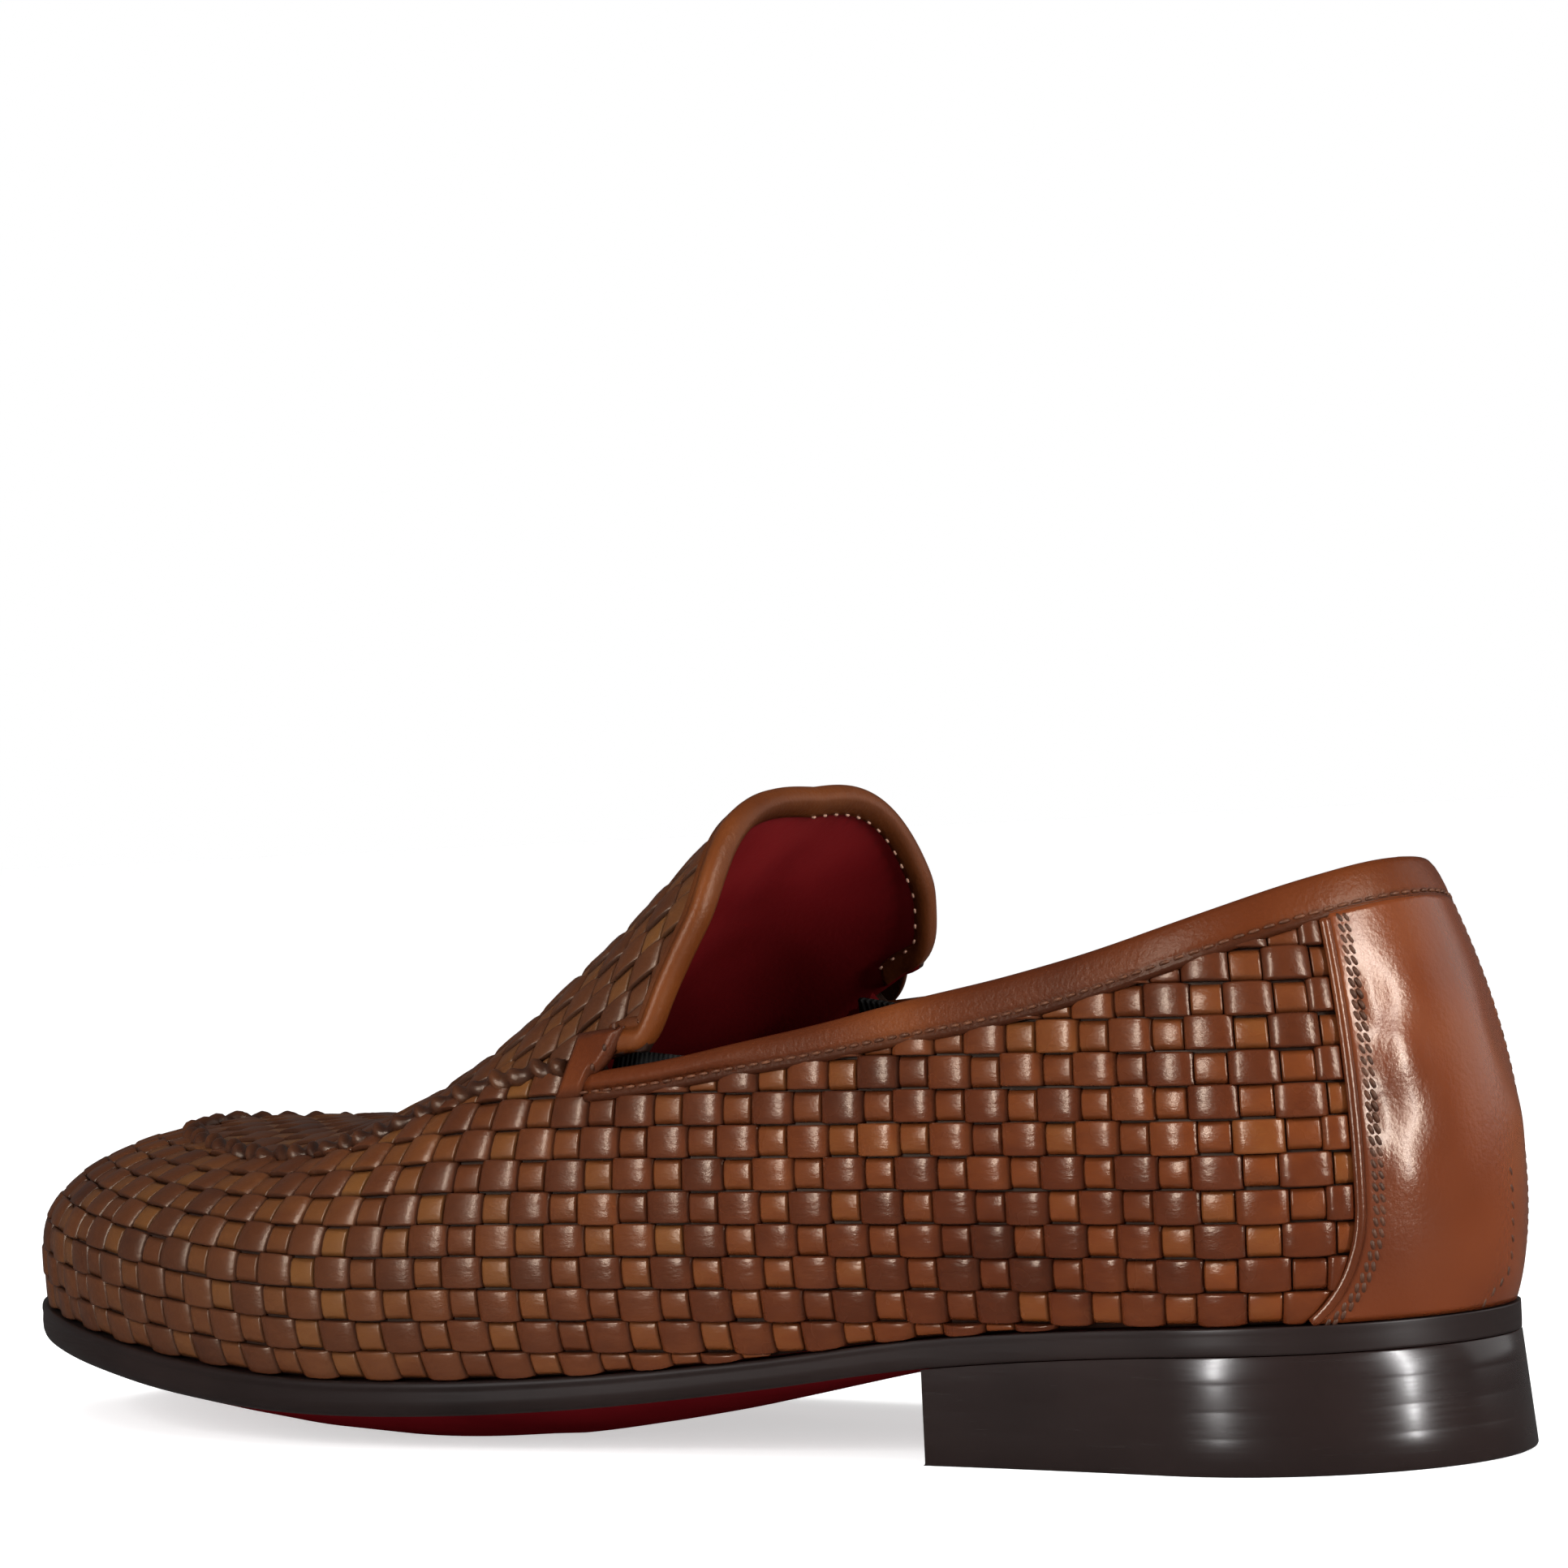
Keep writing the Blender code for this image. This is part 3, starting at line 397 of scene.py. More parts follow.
def make_apron():
    """The apron over ridge and across, with its edges and the distance along at each ridge step."""
    fine = np.arange(TONGUE_END - APRON_SPARE, APRON_FRONT + APRON_SPARE, GRID_STEP)
    offsets = np.linspace(-APRON_HALF, APRON_HALF, OFFSETS)
    middle = OFFSETS // 2
    heights = np.array([crown_z(np.full(OFFSETS, HEEL_END - a), axis_y(a) + offsets) for a in fine])
    ridge = distances(np.stack([fine, heights[:, middle]], axis=1))
    ridge -= np.interp(TONGUE_END, fine, ridge)
    rows = np.arange(ridge[0], ridge[-1], RIDGE_STEP)
    along = np.interp(rows, ridge, fine)
    across = np.arange(-APRON_GIRTH, APRON_GIRTH + GRID_STEP / 2, GRID_STEP)
    points = np.empty((len(rows), len(across), 3))
    edges = np.empty((len(rows), 2))
    for i, place in enumerate(along):
        spot = (place - fine[0]) / (fine[1] - fine[0])
        k = min(int(spot), len(fine) - 2)
        line = heights[k] + (heights[k + 1] - heights[k]) * (spot - k)
        arcs = distances(np.stack([offsets, line], axis=1))
        arcs -= arcs[middle]
        y = np.interp(across, arcs, offsets)
        z = np.interp(y, offsets, line)
        points[i] = np.stack([np.full_like(y, HEEL_END - place), axis_y(place) + y, z], axis=1)
        half = [-float(apron_half(-1, place)), float(apron_half(1, place))]
        edges[i] = np.interp(half, offsets, arcs)
    return Sheet(rows, across, points), edges, along


wall, wall_levels = make_wall()
apron, apron_edges, apron_along = make_apron()


def wall_level(turn, arc):
    """Level of the wall at places on its grid."""
    i = np.clip((turn - wall.rows[0]) / (wall.rows[1] - wall.rows[0]), 0, len(wall.rows) - 1.001)
    j = np.clip(arc / (wall.columns[1] - wall.columns[0]), 0, len(wall.columns) - 1.001)
    return wall_levels[i.astype(int), j.astype(int)]


def top_lines():
    """Arcs of the collar's edge and of the apron's seam at each turn of the wall."""
    turns, arcs = wall.rows, wall.columns
    points = wall.grid[:, :, :3]
    along = HEEL_END - points[:, :, 0]
    side = side_of(turns)[:, None]
    collar = by_side(side, COLLAR, 1, np.clip(along, 0, COLLAR[-1][0]))
    above = points[:, :, 2] - collar + BINDING + GAP
    within = apron_half(side, along) - np.abs(points[:, :, 1] - axis_y(along))
    lines = []
    for value, lowest in ((above, COLLAR_LEVEL), (within, SEAM_LEVEL)):
        up = (value > 0) & (wall_levels > lowest)
        k = np.maximum(up.argmax(axis=1), 1)
        row = np.arange(len(turns))
        low, high = value[row, k - 1], value[row, k]
        share = np.clip(low / (low - high - 1e-15), 0, 1)
        lines.append(arcs[k - 1] + (arcs[k] - arcs[k - 1]) * share)
    return lines


collar_arcs, seam_arcs = top_lines()


def collar_arc(turn):
    return np.interp(np.mod(turn, 2), wall.rows, collar_arcs)


def seam_arc(turn):
    return np.interp(turn, wall.rows, seam_arcs)


def throat_turn(side):
    """Turn where the seam starts, at the throat corner."""
    throat_along = np.interp(THROAT_RIDGE, apron.rows, apron_along)
    turns = on_side(side, np.linspace(*THROAT_SEARCH, 400))
    along = HEEL_END - wall.at(turns, seam_arc(turns))[:, 0]
    return float(np.interp(throat_along, along, turns))


THROATS = (throat_turn(-1), throat_turn(1))


# Meshes

WELD = 1e-6
SIDES = ((-1, "lateral"), (1, "medial"))
STITCH_SIDES = 6

# Rings of one stitch: place on its length, and girth and rise in half threads
STITCH_RINGS = [
    (-0.50, 0.25, -0.90),
    (-0.42, 0.80, -0.25),
    (-0.20, 1.00, 0.10),
    (0.20, 1.00, 0.10),
    (0.42, 0.80, -0.25),
    (0.50, 0.25, -0.90),
]


def new_object(name, data):
    made = bpy.data.objects.new(name, data)
    bpy.context.scene.collection.objects.link(made)
    return made


def add_piece(name, points, faces, materials, node, floats=None, indices=None, weld=False):
    """One piece from points and faces, with values on its points and a material index on its faces.

    Node is the solid, or the list of solids, that the piece stands for.
    """
    mesh = bpy.data.meshes.new(name)
    mesh.from_pydata(np.asarray(points).reshape(-1, 3).tolist(), [], [list(map(int, f)) for f in faces])
    for key, values in (floats or {}).items():
        layer = mesh.attributes.new(key, "FLOAT", "POINT")
        layer.data.foreach_set("value", np.asarray(values, np.float32).ravel())
    if indices is not None:
        mesh.polygons.foreach_set("material_index", np.asarray(indices, np.int32))
    work = bmesh.new()
    work.from_mesh(mesh)
    if weld:
        bmesh.ops.remove_doubles(work, verts=work.verts, dist=WELD)
    bmesh.ops.recalc_face_normals(work, faces=work.faces)
    work.to_mesh(mesh)
    work.free()
    mesh.shade_smooth()
    for material in materials:
        mesh.materials.append(material)
    piece = new_object(name, mesh)
    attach(piece, "root")
    if node:
        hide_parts(*([node] if isinstance(node, str) else node))
    return piece


def grid_faces(rows, columns, start=0, wrap=False):
    """Quads of a grid of points. With wrap, the last column joins the first."""
    i = np.arange(rows - 1)[:, None]
    j = np.arange(columns if wrap else columns - 1)[None, :]
    k = (j + 1) % columns
    quads = [i * columns + j, i * columns + k, (i + 1) * columns + k, (i + 1) * columns + j]
    return np.stack(np.broadcast_arrays(*quads), axis=-1).reshape(-1, 4) + start


def closed_sweep(rings):
    """Points and faces of a tube through closed rings, with flat ends."""
    count, size = rings.shape[:2]
    faces = grid_faces(count, size, wrap=True).tolist()
    faces += [list(range(size)), list(range((count - 1) * size, count * size))]
    return rings.reshape(-1, 3), faces


def rim_of(index):
    """Indices round the four edges of a grid."""
    return np.concatenate((index[0, :-1], index[:-1, -1], index[-1, :0:-1], index[:0:-1, 0]))


def plate(sheet, first, second, heights, wrap=False):
    """Points, faces and material indices of a solid between two heights over places on a sheet.

    The index is 0 outside and on the rim, and 1 inside. With wrap, the columns run round in a ring.
    """
    grids = [sheet.at(first, second, height) for height in heights]
    rows, columns = grids[0].shape[:2]
    index = np.arange(rows * columns).reshape(rows, columns)
    faces = [grid_faces(rows, columns, start, wrap) for start in (0, index.size)]
    for rim in index[[0, -1]] if wrap else [rim_of(index)]:
        following = np.roll(rim, -1)
        faces.append(np.stack([rim, following, following + index.size, rim + index.size], axis=1))
    indices = np.concatenate([np.full(len(part), k == 1) for k, part in enumerate(faces)])
    return np.concatenate(grids).reshape(-1, 3), np.concatenate(faces), indices


def line_frame(centres, normals):
    """Directions along a line on a surface, and across it."""
    tangents = unit(np.gradient(centres, axis=0))
    return tangents, np.cross(normals, tangents)


def tube(centres, normals, width, height, shift, lift, size):
    """Closed tube along a line on a surface, with an elliptic section of a number of points."""
    _, sides = line_frame(centres, normals)
    angles = np.linspace(0, 2 * math.pi, size + 1)[:-1]
    rings = centres[:, None] + normals[:, None] * (lift + height * np.sin(angles))[..., None]
    rings += sides[:, None] * (shift + width * np.cos(angles))[..., None]
    return closed_sweep(rings)


def spaced(points, count):
    """Parameters of points at even distances on a line, and the line's length."""
    arcs = distances(points)
    return np.interp(np.linspace(0, arcs[-1], count), arcs, np.arange(len(points))), arcs[-1]


def resample(values, places):
    base = np.arange(len(values))
    return np.stack([np.interp(places, base, values[:, c]) for c in range(values.shape[1])], axis=1)


def stitches(name, points, normals, kind, material):
    """A row of sunk stitches along a line on a surface. Kind is pitch, length, thread and lean."""
    pitch, length, thread, lean = kind
    places, _ = spaced(points, max(int(distances(points)[-1] / pitch), 2))
    centres = resample(points, places)
    normals = unit(resample(normals, places))
    tangents, sides = line_frame(centres, normals)
    tangents = tangents * math.cos(lean) + sides * math.sin(lean)
    sides = np.cross(normals, tangents)
    steps, girth, rise = np.array(STITCH_RINGS).T * np.array([[length], [thread / 2], [thread / 2]])
    angles = np.arange(STITCH_SIDES) * 2 * math.pi / STITCH_SIDES
    all_points, all_faces = [], []
    for centre, tangent, side, normal in zip(centres, tangents, sides, normals):
        rings = centre + np.outer(steps, tangent) + np.outer(rise, normal)
        around = np.outer(np.cos(angles), side) + np.outer(np.sin(angles), normal)
        part_points, part_faces = closed_sweep(rings[:, None] + around * girth[:, None, None])
        start = len(all_points) * len(part_points)
        all_faces += [[corner + start for corner in face] for face in part_faces]
        all_points.append(part_points)
    add_piece(name, np.concatenate(all_points), all_faces, [material], None)


# Finishes

WHITE = (1, 1, 1, 1)
EVEN = (1, 1, 1)
WARM_SHINE = (1.0, 0.82, 0.66, 1)
TONE_SHARE = 0.6
MOTTLE = 330
MOTTLE_SHARE = 0.2
GLOSS_SPREAD = 0.04
GLOSS_PATCH = 4
COOL_MATT = 0.12
GRAIN = 1150
GRAIN_DEPTH = 0.0004
STRIP_GRAIN = (0.35, 1, 1)
STREAK = 60
LAYER_STRETCH = (1, 1, 28)
STREAK_DEPTH = 0.0003
STREAK_GLOSS = (-0.02, 0.04)
SOLE_PATCH = 25
SOLE_COAT_ROUGHNESS = 0.12
RIB = 320.0
RIB_WANDER = 0.4
RIB_DEPTH = 0.0004
# Colour of the painted shade in the gaps and hollows of the weave
PAINTED_GAP_SHADE = (0.012, 0.004, 0.0025)
# Colour of the darker edges of the smooth pieces, and of the painted shade in their grooves, inner leaves
# and undersides
DARK_EDGE_AND_SHADE = (0.020, 0.006, 0.003)

# Colours of each finish, from its dark patches to its light ones
WARM_STOPS = [
    (0.22, (0.030, 0.0066, 0.0026)),
    (0.42, (0.060, 0.0125, 0.0036)),
    (0.58, (0.098, 0.0230, 0.0052)),
    (0.78, (0.122, 0.0400, 0.0085)),
]
COOL_STOPS = [
    (0.22, (0.027, 0.0080, 0.0038)),
    (0.48, (0.058, 0.0175, 0.0056)),
    (0.78, (0.100, 0.0385, 0.0092)),
]
SMOOTH_STOPS = [
    (0.25, (0.058, 0.0120, 0.0038)),
    (0.50, (0.098, 0.0215, 0.0058)),
    (0.75, (0.145, 0.0380, 0.0090)),
]
COLLAR_STOPS = [
    (0.25, (0.040, 0.0085, 0.0030)),
    (0.50, (0.070, 0.0155, 0.0042)),
    (0.75, (0.115, 0.0290, 0.0068)),
]
TAN_STOPS = [
    (0.25, (0.053, 0.0120, 0.0030)),
    (0.52, (0.092, 0.0230, 0.0046)),
    (0.78, (0.145, 0.0415, 0.0083)),
]
LINING_STOPS = [
    (0.28, (0.085, 0.003, 0.004)),
    (0.52, (0.140, 0.006, 0.008)),
    (0.75, (0.200, 0.012, 0.013)),
]
# Outside of the wall under the weave: painted shade seen through the gaps between the strips
GAP_SHADE_STOPS = [(0.3, PAINTED_GAP_SHADE), (0.7, (0.022, 0.007, 0.004))]
THREAD_STOPS = [(0.3, (0.040, 0.0120, 0.0055)), (0.7, (0.095, 0.0300, 0.0120))]
DARK_THREAD_STOPS = [(0.3, (0.026, 0.0080, 0.0042)), (0.7, (0.058, 0.0180, 0.0080))]
PALE_THREAD_STOPS = [(0.3, (0.25, 0.13, 0.09)), (0.7, (0.36, 0.21, 0.15))]
SOLE_STOPS = [(0.3, (0.007, 0.0038, 0.0034)), (0.7, (0.014, 0.008, 0.007))]
# Red of the sole's underside, darkened with painted shade
SHADED_RED_STOPS = [(0.3, (0.026, 0.0009, 0.0016)), (0.7, (0.046, 0.0022, 0.0030))]
ELASTIC_STOPS = [(0.2, (0.003, 0.003, 0.003)), (0.8, (0.010, 0.009, 0.008))]


def add_node(tree, kind, inputs=None, **settings):
    """A shader node with settings, and inputs that are values or other nodes' outputs."""
    made = tree.nodes.new(kind)
    for key, value in settings.items():
        setattr(made, key, value)
    for key, value in (inputs or {}).items():
        if isinstance(value, bpy.types.NodeSocket):
            tree.links.new(value, made.inputs[key])
        else:
            made.inputs[key].default_value = value
    return made


def new_finish(name, roughness, specular, coat=0.0, coat_roughness=0.2, tint=WHITE):
    finish = bpy.data.materials.new(name)
    finish.use_nodes = True
    shader = finish.node_tree.nodes["Principled BSDF"]
    shader.inputs["Roughness"].default_value = roughness
    shader.inputs["Specular IOR Level"].default_value = specular
    shader.inputs["Coat Weight"].default_value = coat
    shader.inputs["Coat Roughness"].default_value = coat_roughness
    shader.inputs["Specular Tint"].default_value = tint
    return finish, finish.node_tree, shader


def colour_ramp(tree, factor, stops):
    made = add_node(tree, "ShaderNodeValToRGB", {"Fac": factor})
    elements = made.color_ramp.elements
    while len(elements) < len(stops):
        elements.new(0.5)
    for element, (place, colour) in zip(elements, stops):
        element.position = place
        element.color = (*colour, 1)
    return made.outputs["Color"]


def noise(tree, scale, detail=3.0, rough=0.55, stretch=EVEN):
    coords = add_node(tree, "ShaderNodeTexCoord").outputs["Object"]
    if stretch != EVEN:
        coords = add_node(tree, "ShaderNodeMapping", {"Vector": coords, "Scale": stretch}).outputs["Vector"]
    inputs = {"Vector": coords, "Scale": scale, "Detail": detail, "Roughness": rough}
    return add_node(tree, "ShaderNodeTexNoise", inputs).outputs["Fac"]


def math_node(tree, operation, first, second):
    made = add_node(tree, "ShaderNodeMath", {0: first, 1: second}, operation=operation)
    return made.outputs["Value"]


def remap(tree, value, low, high, to_low, to_high):
    inputs = {"Value": value, "From Min": low, "From Max": high, "To Min": to_low, "To Max": to_high}
    return add_node(tree, "ShaderNodeMapRange", inputs).outputs["Result"]


def attribute(tree, name):
    return add_node(tree, "ShaderNodeAttribute", attribute_name=name).outputs["Fac"]


def add_bump(tree, shader, height, strength, distance):
    made = add_node(tree, "ShaderNodeBump", {"Height": height, "Strength": strength, "Distance": distance})
    tree.links.new(made.outputs["Normal"], shader.inputs["Normal"])


def mixed(tree, amount, first, second):
    made = add_node(tree, "ShaderNodeMix", {"Factor": amount, 6: first, 7: second}, data_type="RGBA")
    return made.outputs[2]


def leather(
    name, stops, roughness, patch, relief, edge=None, coat=0.0, cool=None, grain=EVEN, shine=0.4,
):
    """Burnished leather: patchy colour, fine grain, and darkening by each point's edge value where a piece
    has one: painted shade in gaps, grooves, hollows and undersides, and a darker edge along some pieces.

    With cool stops, the colour follows each strip's tone and turns towards them where the strips are cool.
    """
    finish, tree, shader = new_finish(name, roughness, shine, coat, tint=WARM_SHINE)
    value = noise(tree, patch, 2.0, 0.5)
    if cool:
        tone = math_node(tree, "MULTIPLY", attribute(tree, "tone"), TONE_SHARE)
        mottle = math_node(tree, "MULTIPLY", noise(tree, MOTTLE, 3.0, 0.6, grain), MOTTLE_SHARE)
        value = math_node(tree, "MULTIPLY", value, 1.0 - TONE_SHARE - MOTTLE_SHARE)
        value = math_node(tree, "ADD", math_node(tree, "ADD", value, mottle), tone)
    colour = colour_ramp(tree, value, stops)
    if cool:
        colour = mixed(tree, attribute(tree, "cool"), colour, colour_ramp(tree, value, cool))
    # Painted shade, and the darker edges of some pieces, mixed in where the edge value is low
    if edge:
        depth, shade_and_edge_colour = edge
        amount = remap(tree, attribute(tree, "edge"), 0.0, 1.0, depth, 0.0)
        colour = mixed(tree, amount, colour, (*shade_and_edge_colour, 1))
    tree.links.new(colour, shader.inputs["Base Color"])
    gloss = (roughness - GLOSS_SPREAD, roughness + GLOSS_SPREAD)
    rough = remap(tree, noise(tree, patch * GLOSS_PATCH, 2.0), 0.2, 0.8, *gloss)
    if cool:
        matt = math_node(tree, "MULTIPLY", attribute(tree, "cool"), COOL_MATT)
        rough = math_node(tree, "ADD", rough, matt)
    tree.links.new(rough, shader.inputs["Roughness"])
    add_bump(tree, shader, noise(tree, GRAIN, 4.0, 0.6, grain), relief, GRAIN_DEPTH)
    return finish


def sole_finish(name, stops, roughness, lines, coat=0.0, shine=0.4):
    """Burnished sole edge and heel, with fine lines along the layers."""
    finish, tree, shader = new_finish(name, roughness, shine, coat, SOLE_COAT_ROUGHNESS)
    streaks = noise(tree, STREAK, 5.0, 0.6, LAYER_STRETCH)
    tree.links.new(colour_ramp(tree, noise(tree, SOLE_PATCH), stops), shader.inputs["Base Color"])
    gloss = [roughness + change for change in STREAK_GLOSS]
    tree.links.new(remap(tree, streaks, 0.35, 0.7, *gloss), shader.inputs["Roughness"])
    add_bump(tree, shader, streaks, lines, STREAK_DEPTH)
    return finish


def elastic_finish():
    """Black webbing with fine ribs."""
    finish, tree, shader = new_finish("elastic_webbing", 0.8, specular=0.15)
    coords = add_node(tree, "ShaderNodeTexCoord").outputs["Object"]
    inputs = {"Vector": coords, "Scale": RIB, "Distortion": RIB_WANDER}
    ribs = add_node(tree, "ShaderNodeTexWave", inputs).outputs["Fac"]
    tree.links.new(colour_ramp(tree, ribs, ELASTIC_STOPS), shader.inputs["Base Color"])
    add_bump(tree, shader, ribs, 0.5, RIB_DEPTH)
    return finish


# The strips' edge values paint shade towards the gap colour
woven = leather(
    "woven_strips", WARM_STOPS, roughness=0.26, patch=34, relief=0.26,
    edge=(0.7, PAINTED_GAP_SHADE), cool=COOL_STOPS, grain=STRIP_GRAIN,
)
# Painted shade for the wall seen between the strips
under = leather("under_weave_shade", GAP_SHADE_STOPS, roughness=0.6, patch=60, relief=0.1)
smooth_leather = leather(
    "smooth_calf", SMOOTH_STOPS, roughness=0.24, patch=26, relief=0.20, edge=(0.75, DARK_EDGE_AND_SHADE), coat=0.10,
)
collar_leather = leather(
    "collar_calf", COLLAR_STOPS, roughness=0.34, patch=26, relief=0.32, edge=(0.8, DARK_EDGE_AND_SHADE), shine=0.17,
)
tan = leather(
    "tan_edge", TAN_STOPS, roughness=0.40, patch=45, relief=0.30, edge=(0.6, DARK_EDGE_AND_SHADE), shine=0.25,
)
lining = leather("lining", LINING_STOPS, roughness=0.5, patch=28, relief=0.12, shine=0.15)
brown_thread = leather("thread", THREAD_STOPS, roughness=0.5, patch=400, relief=0.3)
dark_thread = leather("dark_thread", DARK_THREAD_STOPS, roughness=0.5, patch=400, relief=0.3)
pale_thread = leather("pale_thread", PALE_THREAD_STOPS, roughness=0.6, patch=400, relief=0.3)
sole_edge = sole_finish("sole_edge", SOLE_STOPS, roughness=0.38, lines=0.03, shine=0.25)
heel_edge = sole_finish("heel_edge", SOLE_STOPS, roughness=0.24, lines=0.008, coat=0.05)
shaded_sole_red = sole_finish("shaded_sole_underside", SHADED_RED_STOPS, roughness=0.36, lines=0.04, shine=0.0)
elastic = elastic_finish()


# Weave

# Shares of a cell's length (U) and row (V) at which the points of a wide and a narrow strip lie
WIDE_U = np.array([0, 0.03, 0.08, 0.15, 0.25, 0.50, 0.75, 0.85, 0.92, 0.97, 1])
WIDE_V = np.array([0, 0, 0.06, 0.35, 0.65, 0.94, 1, 1])
NARROW_U = np.array([0, 0, 0.08, 0.5, 0.92, 1, 1])
NARROW_V = np.array([0, 0.05, 0.20, 0.5, 0.80, 0.95, 1])
# Painted shade at the ends and rims of the strips, where they run under their neighbours
WIDE_SHADE_FADE = 0.07
NARROW_SHADE_FADE = 0.10
NARROW_POWER = 4
RIM_SHADE = 0.5
WIDE_TONE = 0.38
NARROW_TONE = 0.61
STRIP_SPREAD = 0.08
CELL_SPREAD = 0.09
CELL_SHIFT = 0.00008
CELL_SWELL = 0.07
SHORTEST_CELL = 0.14
LOWEST_CELL = 0.0002
COOL_ALONG = (0.05, 0.25)
COOL_HEIGHT = (0.045, 0.075)
COOL_TOP = 0.3
APRON_COOL = 1.0
SIDE_ROWS = range(0, 18)
APRON_ROWS = range(-11, 11)
FEATHER_CLEAR = 0.0003
SEAM_CLEAR = 0.0006
UNDER_BAND = 0.0010
COUNTER_CLEAR = 0.002
THROAT_BLEND = 0.004
TONGUE_BOW = 0.0034
BOW_PLACE = (-0.036, 0.016)


def strip_profile(wide):
    """Shares of a cell's length and row, with the height and the edge shade at each.

    The strip that runs along a row arches over the one below it, and the one that crosses it lies flatter.
    """
    u, v = (WIDE_U, WIDE_V) if wide else (NARROW_U, NARROW_V)
    lengthwise, crosswise = np.meshgrid(u, v, indexing="ij")
    if wide:
        height = WIDE_LOW + (WIDE_HIGH - WIDE_LOW) * (1 - np.abs(2 * lengthwise - 1) ** WIDE_POWER)
        shade = smooth(lengthwise, 0.0, WIDE_SHADE_FADE) * smooth(1 - lengthwise, 0.0, WIDE_SHADE_FADE)
        rims = (slice(None), 1), (slice(None), -2)
    else:
        height = NARROW_HIGH * (1 - np.abs(2 * crosswise - 1) ** NARROW_POWER)
        shade = smooth(crosswise, 0.0, NARROW_SHADE_FADE) * smooth(1 - crosswise, 0.0, NARROW_SHADE_FADE)
        rims = 1, -2
    for rim in rims:
        height[rim] -= EDGE_DROP
        shade[rim] *= RIM_SHADE
    for values, outer in ((height, SKIRT), (shade, 0)):
        values[[0, -1]] = outer
        values[:, [0, -1]] = outer
    return lengthwise, crosswise, height, shade


PROFILES = [strip_profile(False), strip_profile(True)]


def weave(name, sheet, columns, rows, row_place, limits, start, end, coolness, bulge):
    """Interlaced strips on a sheet. A strip along a row, or along a column, keeps about one tone.

    row_place turns a row height into the sheet's second coordinate, and limits gives the lowest and highest
    one there. Start and end give the first and last place of the first coordinate, coolness the tint at
    points, and bulge the rise at places of the first coordinate.
    """
    points, faces, tones, shades = [], [], [], []
    row_tones = random.normal(WIDE_TONE, STRIP_SPREAD, len(rows))
    column_tones = random.normal(NARROW_TONE, STRIP_SPREAD, len(columns))
    total = 0
    for i in range(len(columns) - 1):
        for k in rows:
            wide = (i + k) % 2 == 0
            u, v, height, shade = PROFILES[wide]
            swell, shift, tone = random.normal(0, 1, 3)
            reach = WIDE_REACH if wide else -WIDE_REACH
            strip_tone = (row_tones[k - rows[0]] if wide else column_tones[i]) + CELL_SPREAD * tone
            step = columns[i + 1] - columns[i]
            row = (k + v) * ROW + ROW_GAP * (1 - 2 * v) + CELL_SHIFT * shift
            first = np.maximum(columns[i] - reach * step, start(row))
            last = np.minimum(columns[i + 1] + reach * step, end(row))
            if (last - first).min() < SHORTEST_CELL * step:
                continue
            place = first + (last - first) * u
            lowest, highest = limits(place)
            low = np.maximum(row_place(place, row[:, :1]), lowest)
            high = np.minimum(row_place(place, row[:, -1:]), highest)
            if (high - low).max() < SMALLEST_CELL:
                continue
            second = low + np.maximum(high - low, LOWEST_CELL) * v
            rise = height * (1 + CELL_SWELL * swell) * bulge(place)
            made = sheet.at(place, second, np.where(height > 0, rise, height))
            rim = rim_of(np.arange(u.size).reshape(u.shape) + total)
            faces += grid_faces(*u.shape, start=total).tolist() + [rim[::-1].tolist()]
            points.append(made.reshape(-1, 3))
            tones.append(np.full(u.size, strip_tone))
            shades.append(shade.ravel())
            total += u.size
    points = np.concatenate(points)
    floats = {"tone": np.concatenate(tones), "edge": np.concatenate(shades), "cool": coolness(points)}
    add_piece(name, points, faces, [woven], "upper", floats)


def side_coolness(points):
    """Warm at the heel quarter, and cooler and darker towards the toe and the apron."""
    along = HEEL_END - points[..., 0]
    return np.clip(smooth(along, *COOL_ALONG) + COOL_TOP * smooth(points[..., 2], *COOL_HEIGHT), 0, 1)


def side_bulge(turn):
    """The strips lie flatter towards the toe."""
    return 1 - (1 - TOE_BULGE) * smooth(section(turn)[ALONG], *COOL_ALONG)


def side_columns():
    """Turns of the wall's columns, about half a weave period apart, with one on each throat corner."""
    turns = []
    fixed = [0.0, THROATS[0], 1.0, THROATS[1], 2.0]
    for low, high in zip(fixed[:-1], fixed[1:]):
        fine = np.linspace(low, high, 161)
        arcs = distances(wall_point(fine, WAIST_LEVEL))
        count = 2 * round(arcs[-1] / HALF_PERIOD / 2)
        turns += np.interp(arcs[-1] * np.arange(count) / count, arcs, fine).tolist()
    return turns + [2.0]


def row_arc(turn, height):
    """Rows are level along the heel and waist, and follow the feather line from the ball forward."""
    columns = section(turn)
    return height - columns[FOOT] + lookup(RISE, 1, np.maximum(columns[ALONG], ROW_LEVEL_FROM))


def on_seam(turn):
    return (turn > THROATS[0]) & (turn < THROATS[1])


def collar_band(turn):
    """Width of the collar's binding, which narrows towards the throat."""
    return COLLAR_BAND - COLLAR_TAPER * smooth(np.minimum(turn, 2 - turn), *TAPER_TURNS)


def wall_limits(turn):
    under_collar = collar_arc(turn) - collar_band(turn) + UNDER_BAND
    return FEATHER_CLEAR, np.where(on_seam(turn), seam_arc(turn) - SEAM_CLEAR, under_collar)


def counter_front(level):
    """Turn of the counter's front edge, which spreads towards the sole."""
    return COUNTER_FRONT * (1 + COUNTER_SPREAD * np.maximum(1 - level / WAIST_LEVEL, 0) ** 2)


def behind_counter(row):
    turn = np.full(row.shape, COUNTER_FRONT)
    return counter_front(wall_level(turn, np.maximum(row_arc(turn, row), 0))) + COUNTER_CLEAR


